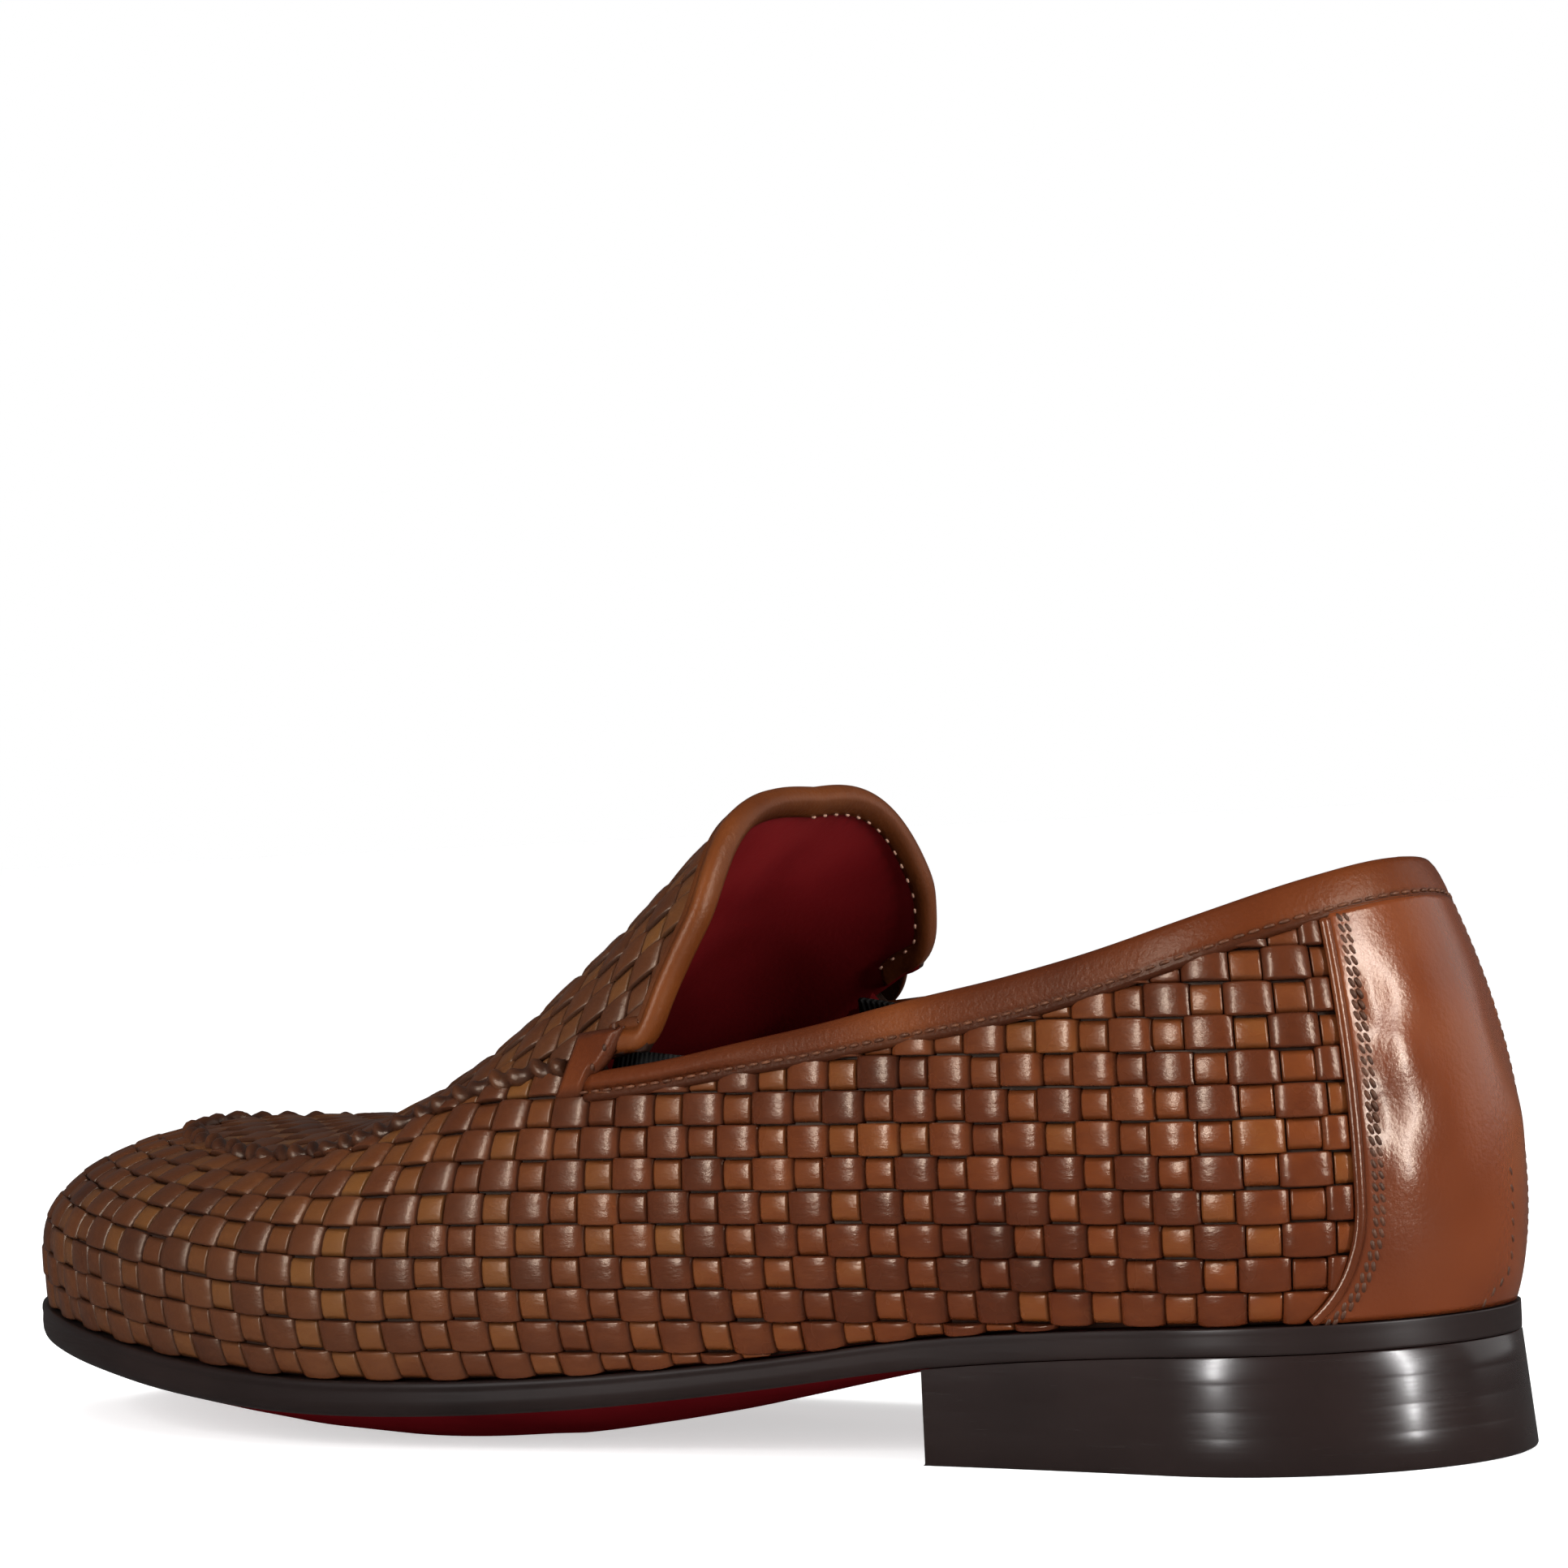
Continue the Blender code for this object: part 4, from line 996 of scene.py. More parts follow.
def tongue_bow(across):
    """Ridge of the tongue's end, which bows back beside its lateral corner."""
    return -TONGUE_BOW * np.exp(-((across - BOW_PLACE[0]) / BOW_PLACE[1]) ** 2)


def apron_span(ridge):
    """Lateral and medial edge of the apron, as distances across it."""
    return [np.interp(ridge, apron.rows, apron_edges[:, c]) for c in (0, 1)]


def apron_limits(ridge):
    low, high = apron_span(np.maximum(ridge, 0))
    free = 1 - smooth(ridge, THROAT_RIDGE - THROAT_BLEND, THROAT_RIDGE)
    inset = SEAM_CLEAR + (TONGUE_BAND - 2 * UNDER_BAND) * free
    return low + inset, high - inset


weave(
    "side_weave", wall, side_columns(), SIDE_ROWS, row_arc, wall_limits,
    start=behind_counter, end=lambda row: 2 - behind_counter(row),
    coolness=side_coolness, bulge=side_bulge,
)

apron_end = float(np.interp(APRON_FRONT - UNDER_BAND, apron_along, apron.rows))
weave(
    "apron_weave", apron, np.arange(0, int(apron_end / HALF_PERIOD) + 2) * HALF_PERIOD, APRON_ROWS,
    row_place=lambda ridge, height: height, limits=apron_limits,
    start=lambda row: tongue_bow(row) + TONGUE_BAND - UNDER_BAND, end=lambda row: apron_end,
    coolness=lambda points: np.full(len(points), APRON_COOL), bulge=lambda ridge: APRON_BULGE,
)


# Wall under the weave, painted dark outside as the shade between the strips, with the lining inside

SEAM_OVERLAP = 0.0012
TONGUE_EDGE = 0.0005
CORNER_INSET = 0.006
CORNER_LENGTH = 0.008


def side_shell():
    turns = np.linspace(0, 2, 361)[:-1]
    top = np.where(on_seam(turns), seam_arc(turns) + SEAM_OVERLAP, collar_arc(turns))
    arcs = top * np.linspace(0, 1, 19)[:, None]
    points, faces, indices = plate(wall, turns, arcs, (-BASE_DEPTH, -WALL), wrap=True)
    add_piece("side_wall", points, faces, [under, lining], "upper", indices=indices)


def apron_shell():
    ridge = np.linspace(TONGUE_EDGE, apron_end, 90)[:, None]
    low, high = apron_span(ridge)
    inset = CORNER_INSET * (1 - smooth(ridge, 0.0, CORNER_LENGTH))
    across = low + inset + (high - low - 2 * inset) * np.linspace(0, 1, 41)
    ridge = ridge + tongue_bow(across) * (1 - ridge / apron_end)
    points, faces, indices = plate(apron, ridge, across, (-BASE_DEPTH, -WALL))
    add_piece("apron_wall", points, faces, [under, lining], "upper", indices=indices)


side_shell()
apron_shell()


# Raised seam round the apron

SEAM_FROM = 0.4845
SEAM_WIDTH = 0.0015
SEAM_HEIGHT = 0.0013
SEAM_LUMP = 0.0048
SEAM_RINGS = 900
SEAM_SIDES = 12
SEAM_DARKER = 0.12
SEAM_SHADE = 0.4
LUMP_SHADE = 1.6
LUMP_RISE = 0.26
LUMP_LEAN = 1.6
WAVE_WIDTH = 0.0004
SEAM_LIFT = 0.0004
WAVE_LIFT = 0.0002
DRIFTS = 60
DRIFT = 0.6
SWELLS = 140
SWELL = 0.10


def apron_seam():
    """Folded strip ends sewn into a lumpy ridge."""
    turns = np.linspace(SEAM_FROM, 2 - SEAM_FROM, 1500)
    places, length = spaced(wall.at(turns, seam_arc(turns)), SEAM_RINGS)
    turns = np.interp(places, np.arange(len(turns)), turns)
    run = np.linspace(0, length, SEAM_RINGS)[:, None]
    drift = np.interp(run, np.linspace(0, length, DRIFTS), np.cumsum(random.normal(0, DRIFT, DRIFTS)))
    swell = np.interp(run, np.linspace(0, length, SWELLS), random.normal(0, SWELL, SWELLS))
    phase = 2 * math.pi * run / SEAM_LUMP
    lean = LUMP_LEAN * np.cos(np.linspace(0, 2 * math.pi, SEAM_SIDES + 1)[:-1])
    lump = LUMP_RISE * np.sin(phase + drift + lean) + swell
    shift = WAVE_WIDTH * np.sin(phase / 2 + drift)
    lift = SEAM_LIFT + WAVE_LIFT * np.sin(phase + drift)
    size = (SEAM_WIDTH * (1 + lump), SEAM_HEIGHT * (1 + lump))
    points, faces = tube(*wall.look(turns, seam_arc(turns)), *size, shift, lift, SEAM_SIDES)
    # Painted shade along the seam, deepest between its lumps and lightest on their crests
    floats = {
        "tone": np.repeat(WIDE_TONE - SEAM_DARKER + swell, SEAM_SIDES),
        "edge": np.clip(SEAM_SHADE + LUMP_SHADE * lump, 0, 1),
        "cool": np.full(len(points), APRON_COOL),
    }
    add_piece("apron_seam", points, faces, [woven], "upper", floats)


apron_seam()


# Bindings, with stitches as pitch, length, thread and lean

FOLD_GAP = 0.0001
FOLD_LEAF = 0.0008
FOLD_SEAM = 0.0013
FOLD_LIP = 0.0009
FOLD_GROOVE = 0.0004
LIP_SHADE = 0.1
GROOVE_SHADE = 0.45
LEAF_SHADE = 0.5
COLLAR_TOP = 0.0013
COLLAR_ROLL = 0.0012
COLLAR_LEAF = 0.0050
COLLAR_STITCH = (0.0023, 0.0017, 0.00055, 0.0)
TONGUE_TOP = 0.0011
TONGUE_ROLL = 0.0008
TONGUE_LEAF = 0.0034
TONGUE_SIDE = (0.0165, 0.0030)
TONGUE_INSET = 0.001
TONGUE_CORNER = 0.003
TONGUE_SEAM = 0.0029
TONGUE_SEAM_FROM = 0.55
TONGUE_STITCH = (0.0026, 0.0009, 0.00045, 0.0)
CORNER_POINTS = 5


def fold(band, leaf, top, roll):
    """Section of a folded binding: distance in from the edge, and height above the wall's outside."""
    bottom = -WALL - FOLD_GAP
    deep = bottom - FOLD_LEAF
    middle = (top + deep) / 2
    outside = [(band, 0.0002), (band + 0.0001, 0.5 * top), (band - 0.0002, 0.95 * top)]
    outside += [(band - 0.0006, 1.1 * top), (band - FOLD_SEAM, 0.80 * top), (band - 0.0019, 1.05 * top)]
    outside += [(0.55 * band, 1.1 * top), (0.25 * band, 1.08 * top), (0.0004, top)]
    edge = [(-0.5 * roll, 0.6 * top), (-0.85 * roll, -0.0002), (-roll, middle)]
    edge += [(-0.85 * roll, deep + 0.0010), (-0.4 * roll, deep + 0.0004)]
    inside = [(0.0006, deep), (leaf * 0.6, deep), (leaf - 0.0003, deep + 0.0001)]
    inside += [(leaf, deep + 0.0004), (leaf, bottom), (-GAP, bottom), (-GAP, 0.0002)]
    return np.array(outside + edge + inside)


def fold_shade(profile, band):
    """The binding's outer lip is darker, and painted shade darkens its stitch groove and inner leaf."""
    inward, height = profile.T
    outer = height > 0
    shade = np.where(outer & (inward > band - FOLD_LIP), LIP_SHADE, 1.0)
    shade = np.where(height < -WALL, LEAF_SHADE, shade)
    return np.where(outer & (np.abs(inward - band + FOLD_SEAM) < FOLD_GROOVE), GROOVE_SHADE, shade)


def collar_binding():
    """Leather folded over the top edge, from one throat corner round the heel to the other."""
    turns = np.mod(np.linspace(THROATS[1], 2 + THROATS[0], 341), 2)
    bands = collar_band(turns)
    profiles = np.array([fold(band, COLLAR_LEAF, COLLAR_TOP, COLLAR_ROLL) for band in bands])
    arcs = collar_arc(turns)[:, None] - np.maximum(profiles[..., 0], 0)
    rings = wall.at(turns[:, None], arcs, profiles[..., 1])
    rings[:, :, 2] += np.maximum(-profiles[..., 0], 0)
    points, faces = closed_sweep(rings)
    floats = {"edge": np.concatenate([fold_shade(p, band) for p, band in zip(profiles, bands)])}
    add_piece("collar_fold", points, faces, [collar_leather], "collar_binding", floats)
    line, normals = wall.look(turns, collar_arc(turns) - bands + FOLD_SEAM)
    line += normals * COLLAR_TOP
    stitches("collar_stitches", line, normals, COLLAR_STITCH, brown_thread)


def tongue_path():
    """Edge of the tongue on the apron's sheet with rounded corners, and the direction into the tongue."""
    sides = np.linspace(*TONGUE_SIDE, 12)
    low, high = apron_span(sides)
    start, end = apron_edges[int(np.argmin(np.abs(apron.rows)))]
    across = np.linspace(start + TONGUE_CORNER, end - TONGUE_CORNER, 40)
    path = np.concatenate((
        np.stack([sides, low + TONGUE_INSET], axis=1),
        np.stack([tongue_bow(across), across], axis=1),
        np.stack([sides, high - TONGUE_INSET], axis=1)[::-1],
    ))
    places, _ = spaced(path, 161)
    path = resample(path, places)
    kernel = np.hanning(2 * CORNER_POINTS + 1)
    kernel /= kernel.sum()
    padded = np.pad(path, ((CORNER_POINTS, CORNER_POINTS), (0, 0)), mode="reflect", reflect_type="odd")
    path = np.stack([np.convolve(column, kernel, mode="valid") for column in padded.T], axis=1)
    along = unit(np.gradient(path, axis=0))
    return path, np.stack([along[:, 1], -along[:, 0]], axis=1)


def tongue_binding():
    """Tan leather rolled over the free edge of the tongue, with pale stitches inside its medial half."""
    path, inward = tongue_path()
    profile = fold(TONGUE_BAND, TONGUE_LEAF, TONGUE_TOP, TONGUE_ROLL)
    spots = path[:, None] + inward[:, None] * np.maximum(profile[:, :1], 0)
    rings = apron.at(spots[..., 0], spots[..., 1], profile[:, 1])
    outward = unit(apron.at(*path.T) - apron.at(*(path + inward * TONGUE_BAND / 2).T))
    rings += outward[:, None] * np.maximum(-profile[:, :1], 0)
    points, faces = closed_sweep(rings)
    floats = {"edge": np.tile(fold_shade(profile, TONGUE_BAND), len(path))}
    add_piece("tongue_fold", points, faces, [tan], "tongue_binding", floats)
    row = (path + inward * TONGUE_SEAM)[int(len(path) * TONGUE_SEAM_FROM):]
    line, normals = apron.look(*row.T)
    line -= normals * (WALL + FOLD_GAP + FOLD_LEAF)
    stitches("tongue_stitches", line, -normals, TONGUE_STITCH, pale_thread)


collar_binding()
tongue_binding()


# Throat tabs

# Turns at the bottom and top of the tab's front and rear edge, and those between which its bottom drops
TAB_FRONT = (SEAM_FROM, 0.4800)
TAB_REAR = (0.4640, 0.4580)
TAB_CORNER = (0.470, 0.474)
TAB_FLARE = 0.004
TAB_TOP = 0.0072
TAB_START = 0.0004
TAB_BELOW = 0.0030
TAB_HEIGHTS = (0.0004, 0.0021)
TAB_BEVEL = 0.16
TAB_RIM = 0.55
TAB_SHADE = 0.25
TAB_SEAM = 3
TAB_SEAM_SUNK = 0.0001
TAB_STITCH = (0.0022, 0.0012, 0.0006, 0.5)


def tab(side, name):
    """Smooth tab that holds the front end of the collar's binding over the corner of the apron."""
    front, up = np.meshgrid(np.linspace(0, 1, 22), np.linspace(0, 1, 18), indexing="ij")
    rear_turn = TAB_REAR[0] + (TAB_REAR[1] - TAB_REAR[0]) * up + TAB_FLARE * (1 - up) ** 4
    front_turn = TAB_FRONT[0] + (TAB_FRONT[1] - TAB_FRONT[0]) * up
    lateral_turn = rear_turn + (front_turn - rear_turn) * front
    turn = on_side(side, lateral_turn)
    rim = collar_arc(turn)
    bottom = rim + TAB_START - (TAB_BELOW + TAB_START) * smooth(lateral_turn, *TAB_CORNER)
    arc = bottom + (rim + TAB_TOP - bottom) * up
    crown = smooth(np.min([front, 1 - front, up, 1 - up], axis=0), 0.0, TAB_BEVEL)
    low, high = TAB_HEIGHTS
    height = low + (high - low) * (TAB_RIM + (1 - TAB_RIM) * crown)
    points, faces, _ = plate(wall, turn, arc, (height, low))
    # Darker towards the rim, and painted shade over the underside
    shade = TAB_SHADE + (1 - TAB_SHADE) * crown
    floats = {"edge": np.concatenate((shade, np.zeros(shade.shape)))}
    label = f"throat_tab_{name}"
    add_piece(label, points, faces, [collar_leather], "collar_binding", floats)
    line, normals = wall.look(turn[TAB_SEAM, 2:], arc[TAB_SEAM, 2:])
    line += normals * (high - TAB_SEAM_SUNK)
    stitches(f"tab_stitches_{name}", line, normals, TAB_STITCH, dark_thread)


for side, name in SIDES:
    tab(side, name)


# Heel counter

COUNTER_BASE = 0.0002
COUNTER_THICK = 0.0012
COUNTER_LOW = 0.0004
COUNTER_UNDER = 0.0008
EDGE_SHARE = 0.55
EDGE_GROWTH = 14
COUNTER_FADE = 0.06
DENT_FADE = 0.25
COUNTER_SEAMS = (0.0021, 0.0031)
COUNTER_STITCH = (0.0016, 0.0018, 0.0008, 0.45)
PIPING_SIZE = (0.00085, 0.0008)
PIPING_SIDES = 10
SMALL_TURN = 0.001
BACK_SEAM = (0.0195, 0.0012)
BACK_TURN = 0.031
BACK_CURL = (0.72, 1.05)
BACK_STITCH = (0.0021, 0.0019, 0.0007, 0.6)

# Lateral and medial values along the counter's front edges
STITCH_REST = (0.0012, 0.0011)
PIPING_REST = (0.0009, 0.0006)
PIPING_SHADE = (0.55, 1.0)

# Soft troughs and ridges: turn, arc, half length in turns, half height, rise
DENTS = [
    (0.074, 0.046, 0.020, 0.0050, -0.0007),
    (0.058, 0.038, 0.018, 0.0045, 0.0006),
    (0.078, 0.030, 0.020, 0.0045, -0.0007),
    (0.064, 0.021, 0.018, 0.0045, 0.0004),
    (-0.060, 0.040, 0.022, 0.0060, -0.0005),
    (-0.066, 0.027, 0.020, 0.0050, 0.0004),
]


def counter_relief(spot, arc):
    rise = np.zeros(np.shape(arc))
    for turn, height, length, spread, amount in DENTS:
        rise += amount * np.exp(-((spot - turn) / length) ** 2 - ((arc - height) / spread) ** 2)
    return rise


def counter_skin():
    """Smooth overlay round the back, thinner at its front edges and darker at the lateral one."""
    shares = np.linspace(0, 1, 61)[:, None]
    around = np.linspace(-1, 1, 97)
    turn = np.mod(around * COUNTER_FRONT, 2)
    top = collar_arc(turn) - COLLAR_BAND + COUNTER_UNDER
    arcs = COUNTER_LOW + (top - COUNTER_LOW) * shares
    spot = around * counter_front(wall_level(np.broadcast_to(turn, arcs.shape), arcs))
    edge = 1 - np.abs(around)
    thick = COUNTER_THICK * np.minimum(1, EDGE_SHARE + EDGE_GROWTH * edge)
    thick = thick + counter_relief(spot, arcs) * smooth(edge, 0.0, DENT_FADE)
    points, faces, _ = plate(wall, np.mod(spot, 2), arcs, (COUNTER_BASE + thick, COUNTER_BASE))
    # The lateral edge darkens towards the rim, and the underside gets full painted shade
    shade = np.where(around > 0, smooth(edge, 0.0, COUNTER_FADE), 1.0) * np.ones(arcs.shape)
    floats = {"edge": np.concatenate((shade, np.zeros(shade.shape)))}
    add_piece("counter_skin", points, faces, [smooth_leather], "heel_counter", floats)


def counter_edge(side, name):
    """Piping along one front edge of the counter, and two rows of stitches behind it."""
    pick = int(side > 0)
    front = on_side(side, COUNTER_FRONT)
    arc = np.linspace(COUNTER_LOW, collar_arc(front) - COLLAR_BAND, 120)
    turn = on_side(side, counter_front(wall_level(np.full(arc.shape, front), arc)))
    points, faces = tube(*wall.look(turn, arc), *PIPING_SIZE, 0.0, PIPING_REST[pick], PIPING_SIDES)
    floats = {"edge": np.full(len(points), PIPING_SHADE[pick])}
    label = f"counter_piping_{name}"
    add_piece(label, points, faces, [smooth_leather], "heel_counter", floats)
    moved = wall.at(turn + SMALL_TURN, arc) - wall.at(turn, arc)
    pace = np.linalg.norm(moved, axis=1) / SMALL_TURN
    for k, back in enumerate(COUNTER_SEAMS):
        line, normals = wall.look(turn + side * back / pace, arc)
        line += normals * STITCH_REST[pick]
        label = f"counter_stitches_{name}_{k + 1}"
        colour = (dark_thread, brown_thread)[pick]
        stitches(label, line, normals, COUNTER_STITCH, colour)


def back_seam():
    """Short row of stitches that runs down the back and curls under."""
    drop = np.linspace(0, 1, 40)
    arc = BACK_SEAM[0] + (BACK_SEAM[1] - BACK_SEAM[0]) * drop
    line, normals = wall.look(2 - BACK_TURN * (1 - smooth(drop, *BACK_CURL)), arc)
    line += normals * STITCH_REST[0]
    stitches("back_stitches", line, normals, BACK_STITCH, dark_thread)


counter_skin()
for side, name in SIDES:
    counter_edge(side, name)
back_seam()


# Elastic gussets

# Lateral and medial: first turn, and height above the rim at the rear and the front
GUSSETS = ((0.440, 0.001, 0.005), (0.458, 0.0005, 0.003))
GUSSET_FRONT = 0.474
GUSSET_BELOW = 0.004
GUSSET_STEPS = 12


def gusset(side, name):
    """Webbing behind the notch between the collar and the tongue."""
    first, *above = GUSSETS[int(side > 0)]
    depth = WALL + 3 * GAP + BINDING + 2 * TONGUE_SLACK
    turns = on_side(side, np.linspace(first, GUSSET_FRONT, GUSSET_STEPS))
    rim = collar_arc(turns) + BINDING + GAP
    heights = np.linspace(-GUSSET_BELOW, np.linspace(*above, GUSSET_STEPS), GUSSET_STEPS, axis=1)
    points, faces, _ = plate(wall, turns[:, None], rim[:, None] + heights, (-depth, -depth - BINDING))
    add_piece(f"webbing_{name}", points, faces, [elastic], f"gusset_{name}")


for side, name in SIDES:
    gusset(side, name)


# Sole, heel and insole

TOP_SHARES = (0.0, 0.5, 0.85, 0.97)
BOTTOM_SHARES = (0.97, 0.9, 0.75, 0.5, 0.25, 0.0)

# Edge of the sole: share of the way down, and how far it stands out
SOLE_EDGE = [
    (0.00, -0.0002),
    (0.06, 0.0001),
    (0.16, 0.0002),
    (0.22, 0.00005),
    (0.32, 0.0),
    (0.55, 0.0002),
    (0.78, 0.0),
    (0.92, -0.0005),
    (1.00, -0.0010),
]
SEAT_EDGE = 0.15
SEAT_FROM = BREAST - 0.004
SEAT_TO = BREAST + 0.020
HEEL_STEPS = 60
HEEL_FOOT = [(0.0, -0.0007), (0.012, -0.0002), (0.03, 0.0)]
HEEL_HEAD = [(0.985, 0.0), (1.0, -0.0002)]
LAYER_LINE = (0.010, -0.00001)
HEEL_SHARP = math.radians(40)

# Section of the insole: share of the half width, and share of the thickness
SOCK = [
    (0.0, 0.0),
    (1.0, 0.0),
    (1.0, 0.8),
    (0.985, 1.0),
    (0.9, 1.0),
    (0.6, 0.93),
    (0.3, 0.9),
    (0.0, 0.88),
]


def sole_top(along, u):
    return lookup(RISE, 1, along) + lookup(RISE, 2, along) * (1 + u) / 2 - GAP


def sole_bottom(along, u):
    edge = sole_top(along, u) - lookup(RISE, 3, along)
    dome = np.maximum(lookup(RISE, 4, along), 0) * (1 - np.abs(u) ** DOME_POWER)
    return np.maximum(edge - dome, 0.0)


def outline(along, side, u, first, last, margin):
    """Plan points at a share u of the way from the middle of an outline to one of its edges."""
    low, high = (outline_y(s, along, first, last, margin) for s in (-1, 1))
    y = (low + high) / 2 + side * u * (high - low) / 2
    return HEEL_END - along, y


def round_trip(count):
    """Shares of the length and sides, from the heel along the lateral edge to the toe and back."""
    angles = np.linspace(0, 2 * math.pi, count + 1)[:-1]
    return (1 - np.cos(angles)) / 2, np.where(angles <= math.pi, -1.0, 1.0)


def outsole():
    """Sole with a thin ledge at the top of its edge, a rounded edge and a domed red underside, darkened
    with painted shade.
    """
    shares, side = round_trip(320)
    along = SOLE_LENGTH * shares
    margin = lookup(RISE, 5, along)
    open_edge = SEAT_EDGE + (1 - SEAT_EDGE) * smooth(along, SEAT_FROM, SEAT_TO)
    top, bottom = sole_top(along, side), sole_bottom(along, side)
    lines = [(u, sole_top(along, side * u), 0.0) for u in TOP_SHARES]
    lines += [(1.0, top + (bottom - top) * share, extra * open_edge) for share, extra in SOLE_EDGE]
    lines += [(u, sole_bottom(along, side * u), SOLE_EDGE[-1][1]) for u in BOTTOM_SHARES]
    rings = []
    for u, height, extra in lines:
        x, y = outline(along, side, u, 0.0, SOLE_LENGTH, margin + extra)
        rings.append(np.stack([x, y, height], axis=1))
    rings = np.array(rings)
    # Faces of the underside, whose red is darkened with painted shade
    red = np.arange(1, len(rings)) >= len(rings) - len(BOTTOM_SHARES)
    indices = np.repeat(red, rings.shape[1])
    faces = grid_faces(*rings.shape[:2], wrap=True)
    materials = [sole_edge, shaded_sole_red]
    add_piece("sole", rings, faces, materials, "outsole", indices=indices, weld=True)


def heel():
    """Stacked heel under the seat, with faint lines between its layers."""
    steps = BREAST * (1 - np.cos(np.linspace(0, math.pi / 2, HEEL_STEPS)))
    along = np.concatenate((steps[::-1], steps[1:]))
    side = np.repeat([-1.0, 1.0], (HEEL_STEPS, HEEL_STEPS - 1))
    stack = sole_bottom(along, side) - GAP / 2
    base = TOP_PIECE / HEEL_HEIGHT
    shares = list(HEEL_FOOT)
    for i in range(LIFTS):
        joint = base + (1 - base) * i / LIFTS
        shares += [(joint - LAYER_LINE[0], 0.0), (joint, LAYER_LINE[1]), (joint + LAYER_LINE[0], 0.0)]
    rings = []
    for share, extra in shares + HEEL_HEAD:
        flare = HEEL_FLARE * (1 - share) * (1 - along / BREAST) + extra
        margin = lookup(RISE, 5, along) + flare / 2
        x, y = outline(along, side, 1.0, 0.0, SOLE_LENGTH, margin)
        rings.append(np.stack([x + flare, y, stack * share], axis=1))
    points, faces = closed_sweep(np.array(rings))
    layers = ["heel_top_piece"] + [f"heel_lift_{i + 1}" for i in range(LIFTS)]
    piece = add_piece("heel_block", points, faces, [heel_edge], layers)
    piece.data.set_sharp_from_angle(angle=HEEL_SHARP)


def insole():
    """Insole with its sock, a little dished, lying inside the wall."""
    shares, side = round_trip(240)
    inset = WALL + 2 * GAP
    first, last = HEEL_INSET + inset, SOLE_LENGTH - TOE_INSET - inset
    along = first + (last - first) * shares
    rings = []
    for u, depth in SOCK:
        x, y = outline(along, side, u, first, last, -inset)
        rings.append(np.stack([x, y, sole_top(along, side * u) + GAP + INSOLE * depth], axis=1))
    faces = grid_faces(len(rings), len(along), wrap=True)
    add_piece("insole_sock", np.array(rings), faces, [lining], "insole", weld=True)


outsole()
heel()
insole()


# Floor, light and camera

FLOOR_RADIUS = 30
FLOOR_COLOUR = (0.92, 0.92, 0.92, 1)
FLOOR_GLOW = 0.55
WORLD_LIGHT = 0.09
LIT_POINT = (0.0, 0.0, 0.05)
SKY_POWER = 1.4
SKY_ANGLE = math.radians(80)
SKY_PLACE = (0.1, -0.3, 1.0)

# Softboxes: name, bearing from the lateral side towards the heel, distance, height, size, power
SOFTBOXES = [
    ("key_strip", math.radians(-6), 1.30, 0.50, (0.11, 0.90), 19),
    ("back_strip", math.radians(90), 1.30, 0.50, (0.09, 0.90), 22),
    ("far_fill", math.radians(150), 1.60, 0.60, (1.20, 1.00), 3.5),
]


def floor():
    finish, _, shader = new_finish("pale_floor", 0.8, specular=0.1)
    shader.inputs["Base Color"].default_value = FLOOR_COLOUR
    shader.inputs["Emission Color"].default_value = WHITE
    shader.inputs["Emission Strength"].default_value = FLOOR_GLOW
    work = bmesh.new()
    bmesh.ops.create_circle(work, cap_ends=True, segments=64, radius=FLOOR_RADIUS)
    mesh = bpy.data.meshes.new("floor")
    work.to_mesh(mesh)
    work.free()
    mesh.materials.append(finish)
    made = new_object("floor", mesh)
    made.visible_glossy = False


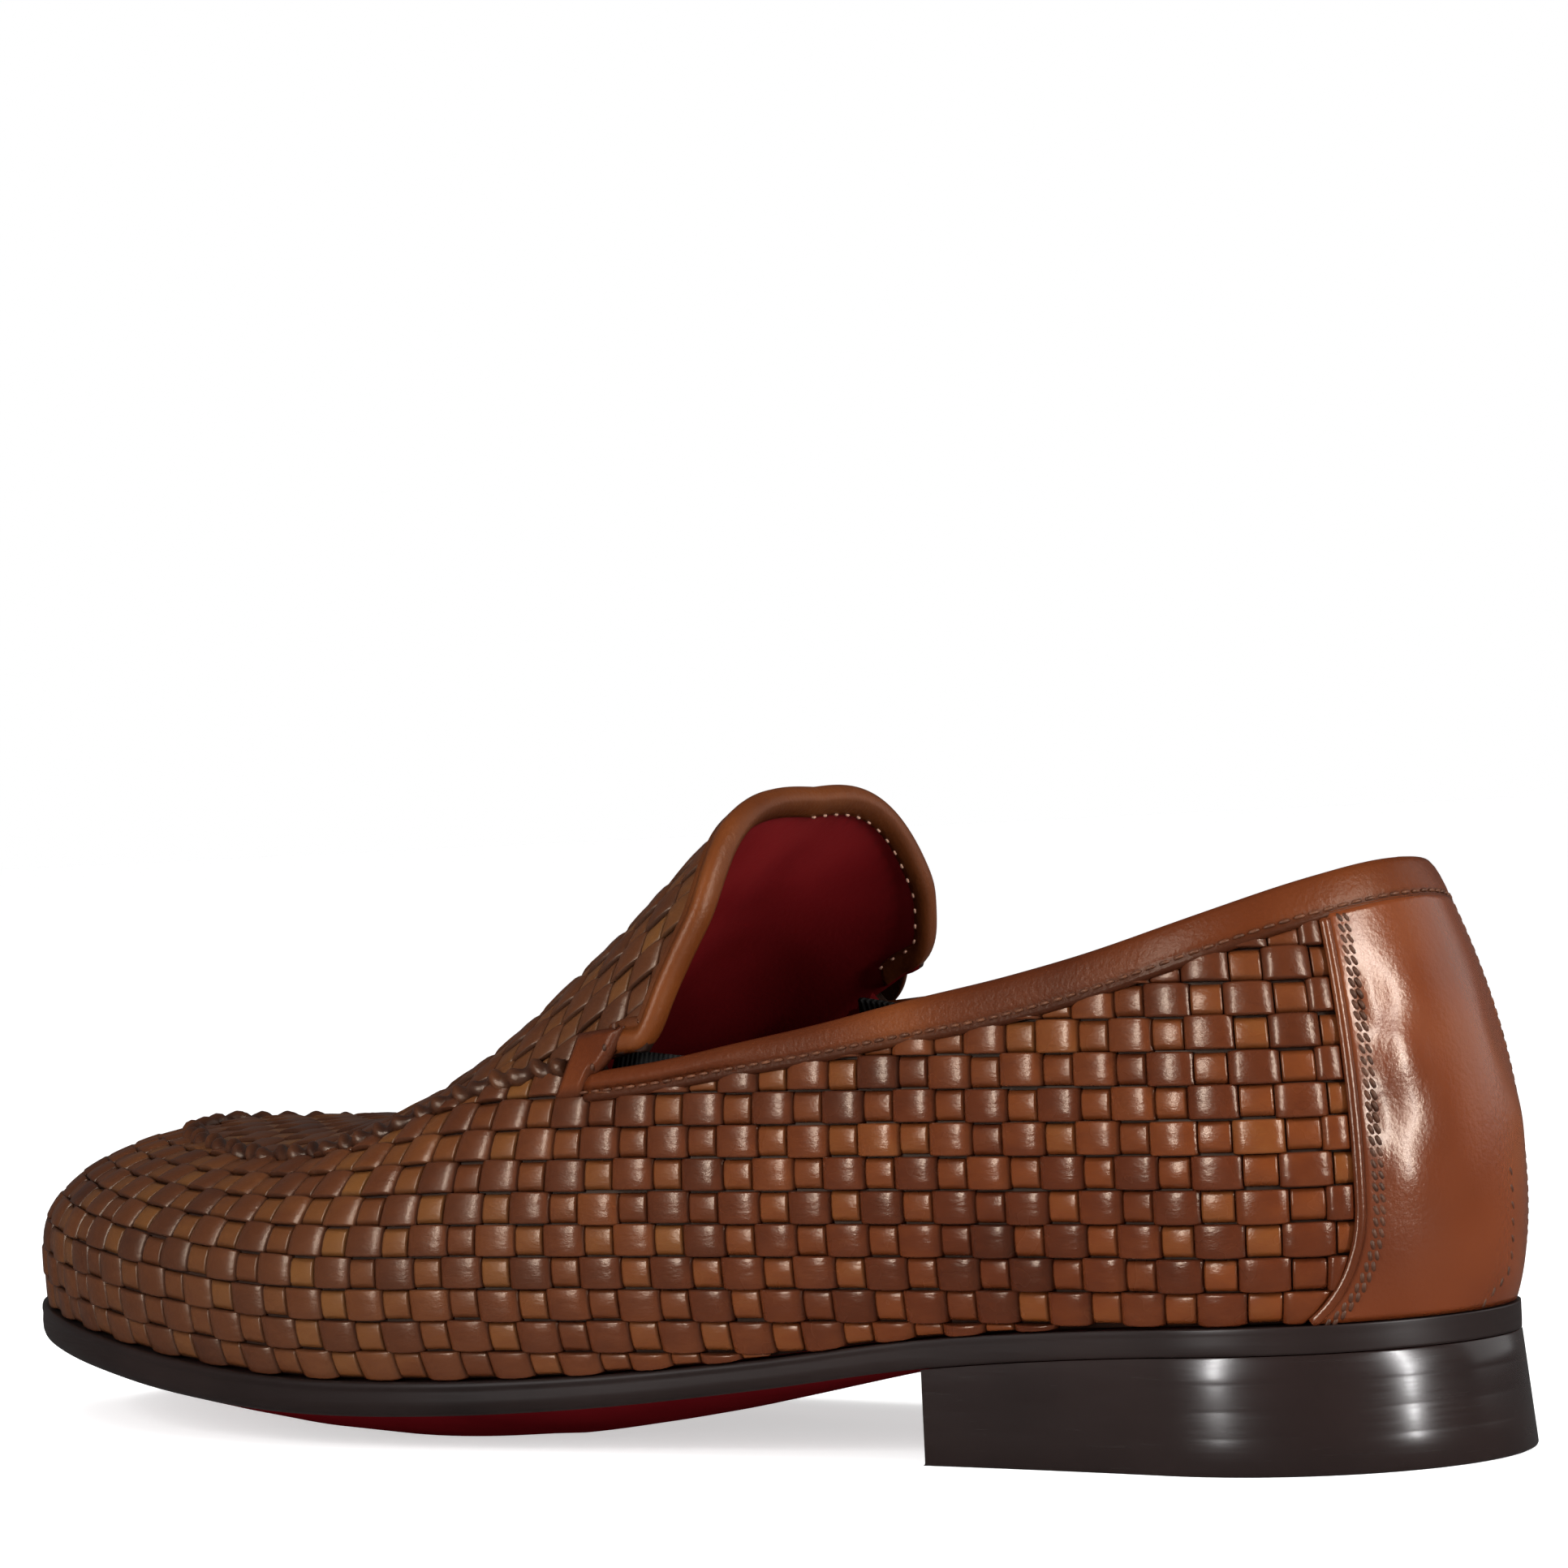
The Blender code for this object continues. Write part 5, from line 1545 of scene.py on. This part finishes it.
def world():
    """White surround for the eye, and a softer one for the light that it gives."""
    made = bpy.data.worlds.new("studio")
    made.use_nodes = True
    bpy.context.scene.world = made
    tree = made.node_tree
    seen = add_node(tree, "ShaderNodeLightPath").outputs["Is Camera Ray"]
    strength = remap(tree, seen, 0.0, 1.0, WORLD_LIGHT, 1.0)
    tree.links.new(strength, tree.nodes["Background"].inputs["Strength"])
    tree.nodes["Background"].inputs["Color"].default_value = WHITE


def aim(made, place, target):
    """Put an object at a place, looking at a target, with its X axis level."""
    back = unit(np.array(place) - target)
    right = unit(np.cross((0, 0, 1), back))
    axes = np.column_stack((right, np.cross(back, right), back, place))
    made.matrix_world = Matrix(np.vstack((axes, (0, 0, 0, 1))).tolist())


def softbox(name, bearing, distance, height, size, power):
    lamp = bpy.data.lights.new(name, "AREA")
    lamp.shape = "RECTANGLE"
    lamp.size, lamp.size_y = size
    lamp.energy = power
    place = (distance * math.sin(bearing), -distance * math.cos(bearing), height)
    aim(new_object(name, lamp), place, LIT_POINT)


def overhead():
    """Wide soft light from above, which leaves no shine."""
    sky = bpy.data.lights.new("overhead", "SUN")
    sky.energy = SKY_POWER
    sky.angle = SKY_ANGLE
    made = new_object("overhead", sky)
    made.visible_glossy = False
    aim(made, SKY_PLACE, (0, 0, 0))


def camera():
    """At the photograph's bearing, with its principal point and roll."""
    lens = bpy.data.cameras.new("camera")
    lens.sensor_width = SENSOR
    lens.lens = SENSOR * FOCAL_PIXELS / PHOTO_SIDE
    lens.shift_x = (PHOTO_SIDE / 2 - CENTRE_PIXEL[0]) / PHOTO_SIDE
    lens.shift_y = (CENTRE_PIXEL[1] - PHOTO_SIDE / 2) / PHOTO_SIDE
    made = new_object("camera", lens)
    back = np.array([math.sin(CAMERA_AZIMUTH), -math.cos(CAMERA_AZIMUTH), 0.0])
    aim(made, CAMERA_PLACE, CAMERA_PLACE - back)
    made.matrix_world = made.matrix_world @ Matrix.Rotation(-CAMERA_ROLL, 4, "Z")
    bpy.context.scene.camera = made


floor()
world()
for box in SOFTBOXES:
    softbox(*box)
overhead()
camera()
bpy.context.scene.view_settings.view_transform = "Standard"
